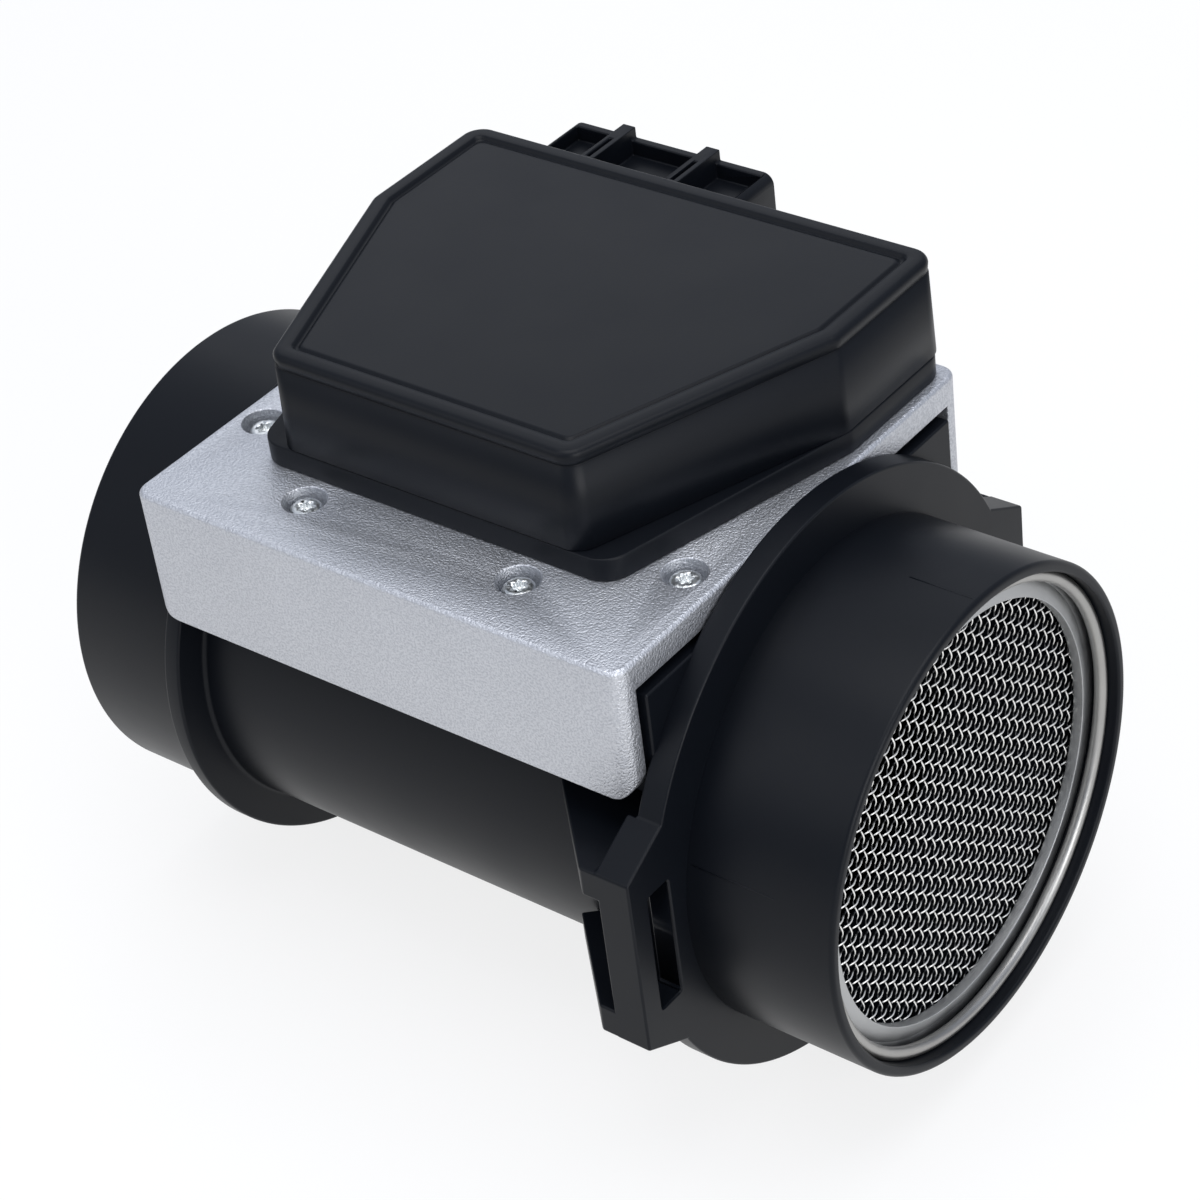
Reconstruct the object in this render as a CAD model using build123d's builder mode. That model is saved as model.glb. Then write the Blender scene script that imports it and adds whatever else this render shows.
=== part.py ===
"""Hot-wire air mass meter: a moulded duct, a cast heat sink saddled over it and a sealed electronics box.

Millimetres. +X runs along the duct to the inlet mouth, +Z up to the electronics and +Y to the plug socket.
The origin is on the duct's axis, in the plane of the inlet flange's outer face.
"""
from build123d import *
import os
from math import atan2, degrees, sqrt

os.makedirs("parts", exist_ok=True)

# ---------------------------- driving dimensions: duct
duct_length = 156.0
sleeve_radius = 42.0            # outside, where the hoses push on
mouth_wall = 1.9                # sleeve wall beside the screens
mouth_depth = 6.5               # from the mouth to the shoulder that the screen sits on
centre_radius = 39.2            # outside of the tube between the flanges
duct_wall = 2.2
sensor_shoulder = 1.0           # step in the bore that the sensor ring stops against
sleeve_edge = 0.6               # chamfer on each mouth's outer edge
inlet_sleeve_length = 26.4
inlet_flange_radius = 50.2
inlet_flange_thickness = 4.5
outlet_sleeve_length = 24.4
outlet_flange_radius = 45.4
outlet_flange_thickness = 3.3

# ---------------------------- driving dimensions: clip ears
ear_reach = 54.5                # outer face of an ear from the duct's axis
ear_bar_width = 4.2             # outer bar that a clip hooks over
ear_bar_depth = 6.2             # the bar along X
ear_arm_depth = 9.0             # the arms above and below the slot, along X
ear_half_height = 16.6
ear_slot_width = 5.0
ear_slot_half_height = 11.2
ear_step = 1.7                  # the bar's plate ends this far outside the slot's inner wall
ear_root_drop = 4.9             # an ear's sloping edge leaves the flange this far inside its rim

# ---------------------------- driving dimensions: heat sink and its seat
heat_sink_top = 47.4
heat_sink_half_width = 45.4
heat_sink_plate = 4.9
heat_sink_wall = 4.0
heat_sink_bottom = 23.2
heat_sink_corner = 3.0
heat_sink_foot_corner = 4.5
heat_sink_edge = 0.5
flange_gap = 0.3                # between the heat sink's ends and the flanges
seat_clearance = 1.0            # seat to the heat sink's side walls
seat_gap = 1.5                  # seat to the plate's underside, which is also the gasket's height
seat_lift = 0.8                 # seat's underside above the heat sink's lower edge
gasket_length = 27.0            # seal round the sensor's window
gasket_width = 19.0
gasket_band = 2.6
carrier_clearance = 0.3
carrier_flange = 1.2

# ---------------------------- driving dimensions: screws
screw_radius = 1.5
screw_clearance = 0.2
screw_bite = 0.1                # gap left for the thread between shank and boss
screw_length = 9.0
screw_head_radius = 2.6
screw_head_height = 2.0
counterbore_radius = 3.6
counterbore_depth = 3.6
boss_radius = 4.2
star_length = 2.7               # recess across its arms
star_arm = 0.8
star_depth = 1.1
front_screw_x = 21.4            # from the box's centre line
front_screw_gap = 5.1           # in front of the box
corner_screw_inset = 6.0        # from the heat sink's ends, less the box's shift
corner_screw_y = -20.0
rear_screw_inset = 9.4
rear_screw_y = 35.0

# ---------------------------- driving dimensions: electronics box
box_shift = -0.4                # its centre line from the heat sink's
box_end_margin = 1.4            # its straight sides inside the heat sink's ends
box_depth = 73.4
box_setback = 0.5               # its back behind the heat sink's side
skirt_height = 4.1
skirt_front_half = 34.7
skirt_shoulder = 17.8           # y where the slanted sides meet the straight ones
skirt_corner = 5.0
skirt_wall = 3.2
lip_height = 2.5
lip_wall = 1.4
lip_clearance = 0.2
cover_height = 17.5
cover_front_half = 29.8
cover_shoulder = 17.0
cover_draft = 0.6               # narrowing from foot to top
cover_corner = 4.3
cover_wall = 2.2
cover_roof = 2.5
cover_edge = 1.2
rim_width = 3.0
groove_width = 1.1
groove_depth = 0.8
panel_depth = 0.4
seal_width = 1.4
seal_height = 0.9
seal_inset = 0.9

# ---------------------------- driving dimensions: plug socket
socket_shift = -19.0            # its centre line from the box's
socket_width = 42.2
socket_height = 20.0
socket_drop = 5.4               # its underside below the heat sink's top
socket_length = 17.2            # beyond the heat sink's side
socket_wall = 2.4
socket_roof = 6.5
socket_depth = 13.0
socket_corner = 2.0
socket_relief = 2.8             # sunk field on its top
relief_wall = 1.6
rib_spacing = 17.8
rib_width = 2.7
rib_rise = 2.0
slit_width = 0.8
slit_length = 6.6
slit_depth = 2.0
pin_count = 5
pin_pitch = 5.5
pin_width = 2.8
pin_thickness = 0.8
pin_height = 2.2                # blades above the heat sink's top
pin_recess = 3.0                # blade tips behind the socket's open face
pin_inner_length = 6.0

# ---------------------------- driving dimensions: circuit board
board_length = 66.0
board_width = 30.0
board_thickness = 0.9
board_y = 24.0
chip_size = 9.0
chip_height = 1.6
transistor_width = 10.0
transistor_length = 9.0
transistor_height = 3.6
capacitor_length = 4.5
capacitor_width = 3.2
capacitor_height = 2.4
capacitor_pitch = 6.0
resistor_length = 3.2
resistor_width = 1.6
resistor_height = 0.6
resistor_pitch = 4.6
link_width = 1.6
link_thickness = 0.6
link_inset = 1.0                # links behind the blades' inner tips

# ---------------------------- driving dimensions: sensor in the air stream
ring_length = 28.0
ring_wall = 2.2
ring_clearance = 0.2
tube_radius = 17.5
tube_wall = 2.0
strut_width = 2.4
lead_strut_width = 6.0
lead_strut_length = 17.0
lead_size = 0.9                 # square drawn wire
lead_clearance = 0.1
lead_count = 4
lead_pitch = 4.2
lead_rise = 1.2                 # leads above the carrier before they turn to the board
hook_size = 0.9
hook_hang = 4.5                 # hook tips inside the tube's bore
wire_setback = 0.5              # the wire's turns behind the tips
wire_size = 0.2
upper_hook_y = 6.0
lower_hook_y = 4.0
element_reach = 9.0             # elements before and behind the wire
element_hang = 6.5              # elements below the top of the tube's bore
thermo_length = 7.0
thermo_width = 4.0
film_length = 9.0
film_width = 5.0
element_thickness = 0.7
leg_size = 0.6
leg_spacing = 2.4

# ---------------------------- driving dimensions: screens
screen_clearance = 0.1
screen_opening_radius = 35.0
frame_wall = 1.7                # the frame's straight outer wall
frame_crest = 3.1               # its ridge above the shoulder
frame_crest_radius = 37.9
frame_fall = 0.8                # fall of the front flange towards the opening
mesh_thickness = 0.9
mesh_weft = 0.4                 # part of the thickness that the level wires take
upright_count = 28
upright_pitch = 2.4
upright_gap = 1.1               # clear width between two upright wires
level_count = 14
level_pitch = 4.8
level_gap = 3.4
ring_wire = 1.1                 # radius of the retaining ring's wire
ring_wire_sides = 6
ring_gap_angle = 12.0
ring_setback = 2.8              # the wire's centre behind the mouth

# ---------------------------- places worked out from the sizes above
mouth_radius = sleeve_radius - mouth_wall
bore_radius = centre_radius - duct_wall
outlet_bore_radius = bore_radius - sensor_shoulder
inlet_face = 0.0
inlet_mouth = inlet_face + inlet_sleeve_length
outlet_mouth = inlet_mouth - duct_length
sensor_x = (inlet_mouth + outlet_mouth) / 2     # sensor, its window and its leads stand at mid-length
inlet_back = inlet_face - inlet_flange_thickness
outlet_face = outlet_mouth + outlet_sleeve_length
outlet_back = outlet_face + outlet_flange_thickness
ring_stop = sensor_x - ring_length / 2

heat_sink_length = inlet_back - outlet_back - 2 * flange_gap
heat_sink_centre = (inlet_back + outlet_back) / 2
plate_underside = heat_sink_top - heat_sink_plate
seat_half_width = heat_sink_half_width - heat_sink_wall - seat_clearance
seat_bottom = heat_sink_bottom + seat_lift
seat_top = plate_underside - seat_gap
seat_length = inlet_back - outlet_back
box_centre = heat_sink_centre + box_shift
box_half_width = heat_sink_length / 2 - box_end_margin
corner_screw_x = heat_sink_length / 2 - corner_screw_inset
rear_screw_x = heat_sink_length / 2 - rear_screw_inset
box_back = heat_sink_half_width - box_setback
box_front = box_back - box_depth
front_screw_y = box_front - front_screw_gap
heat_sink_end = heat_sink_centre - heat_sink_length / 2
screw_seat = heat_sink_top - counterbore_depth

window_length = gasket_length - 2 * gasket_band
window_width = gasket_width - 2 * gasket_band
carrier_length = window_length - 2 * carrier_clearance
carrier_width = window_width - 2 * carrier_clearance

ear_inner = ear_reach - ear_bar_width - ear_slot_width
ear_root_y = inlet_flange_radius - ear_root_drop
ear_root_z = sqrt(inlet_flange_radius**2 - ear_root_y**2)
ear_slope = (ear_root_z - ear_half_height) / (ear_reach - ear_root_y)
arm_back = inlet_face - ear_arm_depth

ledge_z = heat_sink_top + skirt_height
cover_top = ledge_z + cover_height
socket_centre = box_centre + socket_shift
socket_bottom = heat_sink_top - socket_drop
socket_top = socket_bottom + socket_height
socket_reach = heat_sink_half_width + socket_length
socket_back = heat_sink_half_width + flange_gap
pin_z = heat_sink_top + pin_height
pin_inner_y = box_back - skirt_wall - pin_inner_length
board_top = heat_sink_top + board_thickness

ring_radius = bore_radius - ring_clearance
tube_bore = tube_radius - tube_wall
hook_z = tube_bore - hook_hang
wire_z = hook_z + wire_setback
element_top = tube_bore - element_hang
carrier_top = heat_sink_top + carrier_flange
lead_places = [(sensor_x + lead_pitch * (index - (lead_count - 1) / 2), 0) for index in range(lead_count)]
hook_places = [(upper_hook_y, 1), (-upper_hook_y, 1), (lower_hook_y, -1), (-lower_hook_y, -1)]

screen_radius = mouth_radius - screen_clearance
retainer_radius = mouth_radius - ring_wire

screw_places = [
    (box_centre - front_screw_x, front_screw_y),
    (box_centre + front_screw_x, front_screw_y),
    (box_centre - corner_screw_x, corner_screw_y),
    (box_centre + corner_screw_x, corner_screw_y),
    (box_centre - rear_screw_x, rear_screw_y),
    (box_centre + rear_screw_x, rear_screw_y),
]


def ear_edge(y):
    """Height of an ear's sloping edge at y."""
    return ear_half_height + ear_slope * (ear_reach - abs(y))


def box_outline(front_half, shoulder_y, corner, inset=0.0):
    """Six-cornered plan of the electronics box, drawn in by inset and then round-cornered."""
    with BuildSketch(mode=Mode.PRIVATE) as outline:
        with BuildLine():
            Polyline(
                (box_centre - front_half, box_front),
                (box_centre + front_half, box_front),
                (box_centre + box_half_width, shoulder_y),
                (box_centre + box_half_width, box_back),
                (box_centre - box_half_width, box_back),
                (box_centre - box_half_width, shoulder_y),
                close=True,
            )
        make_face()
        if inset:
            offset(amount=-inset, kind=Kind.INTERSECTION)
        fillet(outline.vertices(), corner)
    return outline.sketch


def skirt_outline(inset):
    """Plan of the box's skirt."""
    return box_outline(skirt_front_half, skirt_shoulder, max(skirt_corner - inset, 1.0), inset)


def cover_outline(inset):
    """Plan of the box's cover at its foot."""
    return box_outline(cover_front_half, cover_shoulder, max(cover_corner - inset, 1.0), inset)


# ---------------------------- duct housing
with BuildPart() as duct_housing:
    # Seat under the heat sink: a block from flange to flange, with a boss under each screw
    with BuildSketch(Plane.XY.offset(seat_bottom)):
        with Locations((heat_sink_centre, 0)):
            Rectangle(seat_length, 2 * seat_half_width)
    extrude(amount=seat_top - seat_bottom)
    with BuildSketch(Plane.XY.offset(seat_top)):
        with Locations(*screw_places):
            Circle(boss_radius)
    extrude(amount=seat_gap)

    # Arms of the clip ears, webbed back to the duct on a slant
    web_run = ear_reach - centre_radius
    for side in (-1, 1):
        for level in (-ear_half_height, ear_slot_half_height):
            with BuildSketch(Plane.XY.offset(level)):
                with BuildLine():
                    Polyline(
                        (inlet_face, side * ear_reach),
                        (arm_back, side * ear_reach),
                        (arm_back - web_run, side * centre_radius),
                        (arm_back - web_run, 0),
                        (inlet_face, 0),
                        close=True,
                    )
                make_face()
            extrude(amount=ear_half_height - ear_slot_half_height)

        # Ear plate, sloped to meet the flange's circle; its outer part is as deep as the bar
        for root, depth in ((ear_root_y, inlet_flange_thickness), (ear_inner + ear_step, ear_bar_depth)):
            with BuildSketch(Plane.YZ.offset(inlet_face)):
                with BuildLine():
                    Polyline(
                        (side * root, ear_edge(root)),
                        (side * ear_reach, ear_half_height),
                        (side * ear_reach, -ear_half_height),
                        (side * root, -ear_edge(root)),
                        close=True,
                    )
                make_face()
            extrude(amount=-depth)

    # Duct, sleeves and flanges, turned about the axis
    with BuildSketch(Plane.XY):
        with BuildLine():
            Polyline(
                (outlet_mouth, 0),
                (outlet_mouth, sleeve_radius),
                (outlet_face, sleeve_radius),
                (outlet_face, outlet_flange_radius),
                (outlet_back, outlet_flange_radius),
                (outlet_back, centre_radius),
                (inlet_back, centre_radius),
                (inlet_back, inlet_flange_radius),
                (inlet_face, inlet_flange_radius),
                (inlet_face, sleeve_radius),
                (inlet_mouth, sleeve_radius),
                (inlet_mouth, 0),
                close=True,
            )
        make_face()
    revolve(axis=Axis.X)

    # Bore: a wide mouth at each end for the screens, and a step that stops the sensor ring
    with BuildSketch(Plane.XY):
        with BuildLine():
            Polyline(
                (outlet_mouth, 0),
                (outlet_mouth, mouth_radius),
                (outlet_mouth + mouth_depth, mouth_radius),
                (outlet_mouth + mouth_depth, outlet_bore_radius),
                (ring_stop, outlet_bore_radius),
                (ring_stop, bore_radius),
                (inlet_mouth - mouth_depth, bore_radius),
                (inlet_mouth - mouth_depth, mouth_radius),
                (inlet_mouth, mouth_radius),
                (inlet_mouth, 0),
                close=True,
            )
        make_face()
    revolve(axis=Axis.X, mode=Mode.SUBTRACT)

    # Clip slots through the inlet flange, the sensor's window and the screw holes
    with BuildSketch(Plane.YZ.offset(inlet_face)):
        with Locations(
            (ear_inner + ear_slot_width / 2, 0),
            (-ear_inner - ear_slot_width / 2, 0),
        ):
            Rectangle(ear_slot_width, 2 * ear_slot_half_height)
    extrude(amount=-ear_bar_depth, mode=Mode.SUBTRACT)
    with BuildSketch(Plane.XY.offset(seat_top)):
        with Locations((sensor_x, 0)):
            Rectangle(window_length, window_width)
    extrude(amount=-seat_top, mode=Mode.SUBTRACT)
    with BuildSketch(Plane.XY.offset(plate_underside)):
        with Locations(*screw_places):
            Circle(screw_radius + screw_bite)
    extrude(amount=screw_seat - screw_length - plate_underside, mode=Mode.SUBTRACT)

    round_edges = duct_housing.edges().filter_by(GeomType.CIRCLE)
    mouth_edges = round_edges.group_by(Axis.X)[0] + round_edges.group_by(Axis.X)[-1]
    chamfer(mouth_edges.filter_by(lambda edge: edge.radius > mouth_radius + mouth_wall / 2), sleeve_edge)
duct_housing.part.label = "duct_housing"
export_step(duct_housing.part, "parts/duct_housing.step")

# ---------------------------- heat sink
with BuildPart() as heat_sink:
    # Plate and walls as one saddle, round-cornered in plan and at its feet
    with BuildSketch(Plane.XY.offset(heat_sink_bottom)):
        with Locations((heat_sink_centre, 0)):
            RectangleRounded(heat_sink_length, 2 * heat_sink_half_width, heat_sink_corner)
    extrude(amount=heat_sink_top - heat_sink_bottom)
    with BuildSketch(Plane.XZ) as side_view:
        with Locations((heat_sink_centre, (heat_sink_top + heat_sink_bottom) / 2)):
            Rectangle(heat_sink_length, heat_sink_top - heat_sink_bottom)
        fillet(side_view.vertices().group_by(Axis.Y)[0], heat_sink_foot_corner)
    extrude(amount=heat_sink_half_width, both=True, mode=Mode.INTERSECT)
    with BuildSketch(Plane.YZ.offset(heat_sink_end)):
        with Locations((0, (plate_underside + heat_sink_bottom) / 2)):
            Rectangle(2 * (heat_sink_half_width - heat_sink_wall), plate_underside - heat_sink_bottom)
    extrude(amount=heat_sink_length, mode=Mode.SUBTRACT)
    chamfer(heat_sink.faces().sort_by(Axis.Z)[-1].edges(), heat_sink_edge)

    # Sunk screw holes and the window for the sensor's leads
    with BuildSketch(Plane.XY.offset(heat_sink_top)):
        with Locations(*screw_places):
            Circle(counterbore_radius)
    extrude(amount=-counterbore_depth, mode=Mode.SUBTRACT)
    with BuildSketch(Plane.XY.offset(heat_sink_top)):
        with Locations(*screw_places):
            Circle(screw_radius + screw_clearance)
        with Locations((sensor_x, 0)):
            Rectangle(window_length, window_width)
    extrude(amount=-heat_sink_plate, mode=Mode.SUBTRACT)
heat_sink.part.label = "heat_sink"
export_step(heat_sink.part, "parts/heat_sink.step")

# ---------------------------- gasket between seat and heat sink
with BuildPart() as heat_sink_gasket:
    with BuildSketch(Plane.XY.offset(seat_top)):
        with Locations((sensor_x, 0)):
            Rectangle(gasket_length, gasket_width)
            Rectangle(window_length, window_width, mode=Mode.SUBTRACT)
    extrude(amount=seat_gap)
heat_sink_gasket.part.label = "heat_sink_gasket"
export_step(heat_sink_gasket.part, "parts/heat_sink_gasket.step")

# ---------------------------- heat sink screws
with BuildPart() as heat_sink_screws:
    with BuildSketch(Plane.XY.offset(screw_seat)):
        with Locations(*screw_places):
            Circle(screw_head_radius)
    extrude(amount=screw_head_height)
    with BuildSketch(Plane.XY.offset(screw_seat)):
        with Locations(*screw_places):
            Circle(screw_radius)
    extrude(amount=-screw_length)
    with BuildSketch(Plane.XY.offset(screw_seat + screw_head_height)):
        with Locations(*screw_places):
            for turn in range(3):
                Rectangle(star_length, star_arm, rotation=60 * turn)
    extrude(amount=-star_depth, mode=Mode.SUBTRACT)
heat_sink_screws.part.label = "heat_sink_screws"
export_step(heat_sink_screws.part, "parts/heat_sink_screws.step")

# ---------------------------- electronics frame with plug socket
with BuildPart() as electronics_frame:
    # Skirt with an inner lip that the cover fits over
    with BuildSketch(Plane.XY.offset(heat_sink_top)):
        add(skirt_outline(0))
    extrude(amount=skirt_height)
    with BuildSketch(Plane.XY.offset(ledge_z)):
        add(cover_outline(cover_wall + lip_clearance))
    extrude(amount=lip_height)

    # Socket body, its bridge to the skirt and the two ribs on its top
    with BuildSketch(Plane.XZ.offset(-socket_reach)):
        with Locations((socket_centre, (socket_top + socket_bottom) / 2)):
            RectangleRounded(socket_width, socket_top - socket_bottom, socket_corner)
    extrude(amount=socket_reach - socket_back)
    with BuildSketch(Plane.XZ.offset(-socket_back)):
        with Locations((socket_centre, (heat_sink_top + ledge_z) / 2)):
            Rectangle(socket_width, skirt_height)
    extrude(amount=socket_back - box_back + skirt_wall)

    # Sunk field on the socket's top, with the ribs left standing in it
    with BuildSketch(Plane.XY.offset(socket_top)):
        with Locations((socket_centre, (socket_back + socket_reach - relief_wall) / 2)):
            Rectangle(socket_width - 2 * relief_wall, socket_reach - socket_back - relief_wall)
    extrude(amount=-socket_relief, mode=Mode.SUBTRACT)
    for side in (-1, 1):
        rib_x = socket_centre + side * rib_spacing / 2
        with BuildSketch(Plane.XY.offset(socket_top - socket_relief)):
            with Locations((rib_x, (socket_back + socket_reach) / 2)):
                Rectangle(rib_width, socket_reach - socket_back)
        extrude(amount=socket_relief + rib_rise)
        with BuildSketch(Plane.XY.offset(socket_top + rib_rise)):
            with Locations((rib_x, (socket_back + socket_reach) / 2)):
                Rectangle(slit_width, slit_length)
        extrude(amount=-slit_depth, mode=Mode.SUBTRACT)

    # Inside of the box, socket cavity, blade slots and the seal's groove
    with BuildSketch(Plane.XY.offset(heat_sink_top)):
        add(cover_outline(cover_wall + lip_clearance + lip_wall))
    extrude(amount=skirt_height + lip_height, mode=Mode.SUBTRACT)
    with BuildSketch(Plane.XZ.offset(-socket_reach)):
        cavity_top = socket_top - socket_roof
        cavity_bottom = socket_bottom + socket_wall
        with Locations((socket_centre, (cavity_top + cavity_bottom) / 2)):
            RectangleRounded(socket_width - 2 * socket_wall, cavity_top - cavity_bottom, socket_corner)
    extrude(amount=socket_depth, mode=Mode.SUBTRACT)
    with BuildSketch(Plane.XZ.offset(-socket_reach)):
        with Locations((socket_centre, pin_z)):
            with GridLocations(pin_pitch, 1, pin_count, 1):
                Rectangle(pin_width, pin_thickness)
    extrude(amount=socket_reach - pin_inner_y, mode=Mode.SUBTRACT)
    with BuildSketch(Plane.XY.offset(heat_sink_top)):
        add(skirt_outline(seal_inset))
        add(skirt_outline(seal_inset + seal_width), mode=Mode.SUBTRACT)
    extrude(amount=seal_height, mode=Mode.SUBTRACT)
electronics_frame.part.label = "electronics_frame"
export_step(electronics_frame.part, "parts/electronics_frame.step")

# ---------------------------- seal under the frame
with BuildPart() as frame_seal:
    with BuildSketch(Plane.XY.offset(heat_sink_top)):
        add(skirt_outline(seal_inset))
        add(skirt_outline(seal_inset + seal_width), mode=Mode.SUBTRACT)
    extrude(amount=seal_height)
frame_seal.part.label = "frame_seal"
export_step(frame_seal.part, "parts/frame_seal.step")

# ---------------------------- electronics cover
with BuildPart() as electronics_cover:
    with BuildSketch(Plane.XY.offset(ledge_z)):
        add(cover_outline(0))
    extrude(amount=cover_height, taper=degrees(atan2(cover_draft, cover_height)))
    fillet(electronics_cover.faces().sort_by(Axis.Z)[-1].edges(), cover_edge)
    with BuildSketch(Plane.XY.offset(ledge_z)):
        add(cover_outline(cover_wall))
    extrude(amount=cover_height - cover_roof, mode=Mode.SUBTRACT)

    # Groove and slightly sunk panel inside the rim
    with BuildSketch(Plane.XY.offset(cover_top)):
        add(cover_outline(cover_draft + rim_width))
    extrude(amount=-panel_depth, mode=Mode.SUBTRACT)
    with BuildSketch(Plane.XY.offset(cover_top)):
        add(cover_outline(cover_draft + rim_width))
        add(cover_outline(cover_draft + rim_width + groove_width), mode=Mode.SUBTRACT)
    extrude(amount=-groove_depth, mode=Mode.SUBTRACT)
electronics_cover.part.label = "electronics_cover"
export_step(electronics_cover.part, "parts/electronics_cover.step")

# ---------------------------- plug blades and their links to the board
with BuildPart() as connector_pins:
    with BuildSketch(Plane.XZ.offset(pin_recess - socket_reach)):
        with Locations((socket_centre, pin_z)):
            with GridLocations(pin_pitch, 1, pin_count, 1):
                Rectangle(pin_width, pin_thickness)
    extrude(amount=socket_reach - pin_recess - pin_inner_y)
connector_pins.part.label = "connector_pins"
export_step(connector_pins.part, "parts/connector_pins.step")

with BuildPart() as pin_links:
    with BuildSketch(Plane.XY.offset(board_top)):
        with Locations((socket_centre, pin_inner_y + link_inset)):
            with GridLocations(pin_pitch, 1, pin_count, 1):
                Rectangle(link_width, link_thickness)
    extrude(amount=pin_z - pin_thickness / 2 - board_top)
pin_links.part.label = "pin_links"
export_step(pin_links.part, "parts/pin_links.step")

# ---------------------------- circuit board and what stands on it
with BuildPart() as circuit_board:
    with BuildSketch(Plane.XY.offset(heat_sink_top)):
        with Locations((box_centre, board_y)):
            Rectangle(board_length, board_width)
    extrude(amount=board_thickness)
circuit_board.part.label = "circuit_board"
export_step(circuit_board.part, "parts/circuit_board.step")

with BuildPart() as control_chip:
    with BuildSketch(Plane.XY.offset(board_top)):
        with Locations((box_centre + board_length / 12, board_y)):
            Rectangle(chip_size, chip_size)
    extrude(amount=chip_height)
    chamfer(control_chip.faces().sort_by(Axis.Z)[-1].edges(), element_thickness / 2)
control_chip.part.label = "control_chip"
export_step(control_chip.part, "parts/control_chip.step")

with BuildPart() as power_transistor:
    with BuildSketch(Plane.XY.offset(board_top)):
        with Locations((box_centre + board_length / 3, board_y)):
            Rectangle(transistor_width, transistor_length)
    extrude(amount=transistor_height)
    chamfer(power_transistor.faces().sort_by(Axis.Z)[-1].edges(), element_thickness / 2)
power_transistor.part.label = "power_transistor"
export_step(power_transistor.part, "parts/power_transistor.step")

with BuildPart() as capacitors:
    with BuildSketch(Plane.XY.offset(board_top)):
        with Locations((box_centre - board_length / 6, board_y - board_width / 4)):
            with GridLocations(capacitor_pitch, 1, 3, 1):
                Rectangle(capacitor_width, capacitor_length)
    extrude(amount=capacitor_height)
capacitors.part.label = "capacitors"
export_step(capacitors.part, "parts/capacitors.step")

with BuildPart() as chip_resistors:
    with BuildSketch(Plane.XY.offset(board_top)):
        with Locations((box_centre - board_length / 4, board_y + board_width / 12)):
            with GridLocations(resistor_pitch, resistor_pitch, 4, 2):
                Rectangle(resistor_length, resistor_width)
    extrude(amount=resistor_height)
chip_resistors.part.label = "chip_resistors"
export_step(chip_resistors.part, "parts/chip_resistors.step")

# ---------------------------- carrier and leads down to the sensor
with BuildPart() as lead_carrier:
    with BuildSketch(Plane.XY.offset(bore_radius)):
        with Locations((sensor_x, 0)):
            Rectangle(carrier_length, carrier_width)
    extrude(amount=heat_sink_top - bore_radius)
    with BuildSketch(Plane.XY.offset(heat_sink_top)):
        with Locations((sensor_x, 0)):
            Rectangle(carrier_length, window_width + 2 * carrier_clearance)
    extrude(amount=carrier_flange)
    with BuildSketch(Plane.XY.offset(bore_radius)):
        with Locations(*lead_places):
            Rectangle(lead_size + 2 * lead_clearance, lead_size + 2 * lead_clearance)
    extrude(amount=carrier_top - bore_radius, mode=Mode.SUBTRACT)
lead_carrier.part.label = "lead_carrier"
export_step(lead_carrier.part, "parts/lead_carrier.step")

with BuildPart() as sensor_leads:
    lead_turn = carrier_top + lead_rise
    landing_y = board_y - board_width / 2 + 2 * lead_size
    with BuildSketch(Plane.XY.offset(tube_radius)):
        with Locations(*lead_places):
            Rectangle(lead_size, lead_size)
    extrude(amount=lead_turn - tube_radius)
    with BuildSketch(Plane.XY.offset(lead_turn - lead_size)):
        for lead_x, lead_y in lead_places:
            with Locations((lead_x, (lead_y + landing_y) / 2)):
                Rectangle(lead_size, landing_y - lead_y + lead_size)
    extrude(amount=lead_size)
    with BuildSketch(Plane.XY.offset(board_top)):
        with Locations(*[(lead_x, landing_y) for lead_x, lead_y in lead_places]):
            Rectangle(lead_size, lead_size)
    extrude(amount=lead_turn - board_top)
sensor_leads.part.label = "sensor_leads"
export_step(sensor_leads.part, "parts/sensor_leads.step")


# ---------------------------- sensor ring in the bore
def end_at_tube():
    """Trim what the current part has beyond the measuring tube's bore."""
    with BuildSketch(Plane.YZ.offset(ring_stop)) as beyond:
        Circle(ring_radius)
        Circle(tube_bore, mode=Mode.SUBTRACT)
    extrude(beyond.sketch, amount=ring_length, mode=Mode.SUBTRACT)


with BuildPart() as sensor_ring:
    with BuildSketch(Plane.YZ.offset(ring_stop)):
        Circle(ring_radius)
        Circle(ring_radius - ring_wall, mode=Mode.SUBTRACT)
        with PolarLocations(0, 2, start_angle=210, angular_range=240):
            with Locations(((tube_radius + ring_radius - ring_wall) / 2, 0)):
                Rectangle(ring_radius - ring_wall - tube_radius + tube_wall, strut_width)
        Circle(tube_radius)
        Circle(tube_bore, mode=Mode.SUBTRACT)
    extrude(amount=ring_length)
    with BuildSketch(Plane.XY.offset(tube_radius - tube_wall / 2)):
        with Locations((sensor_x, 0)):
            SlotOverall(lead_strut_length + lead_strut_width, lead_strut_width)
    extrude(amount=ring_radius - ring_wall / 2 - tube_radius + tube_wall / 2)
    with BuildSketch(Plane.XY.offset(tube_radius)):
        with Locations(*lead_places):
            Rectangle(lead_size + 2 * lead_clearance, lead_size + 2 * lead_clearance)
    extrude(amount=ring_radius - tube_radius, mode=Mode.SUBTRACT)
sensor_ring.part.label = "sensor_ring"
export_step(sensor_ring.part, "parts/sensor_ring.step")

with BuildPart() as wire_hooks:
    for hook_y, way in hook_places:
        with BuildSketch(Plane.XY.offset(way * hook_z)):
            with Locations((sensor_x, hook_y)):
                Rectangle(hook_size, hook_size)
        extrude(amount=way * (tube_radius - hook_z))
    end_at_tube()
wire_hooks.part.label = "wire_hooks"
export_step(wire_hooks.part, "parts/wire_hooks.step")

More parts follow.
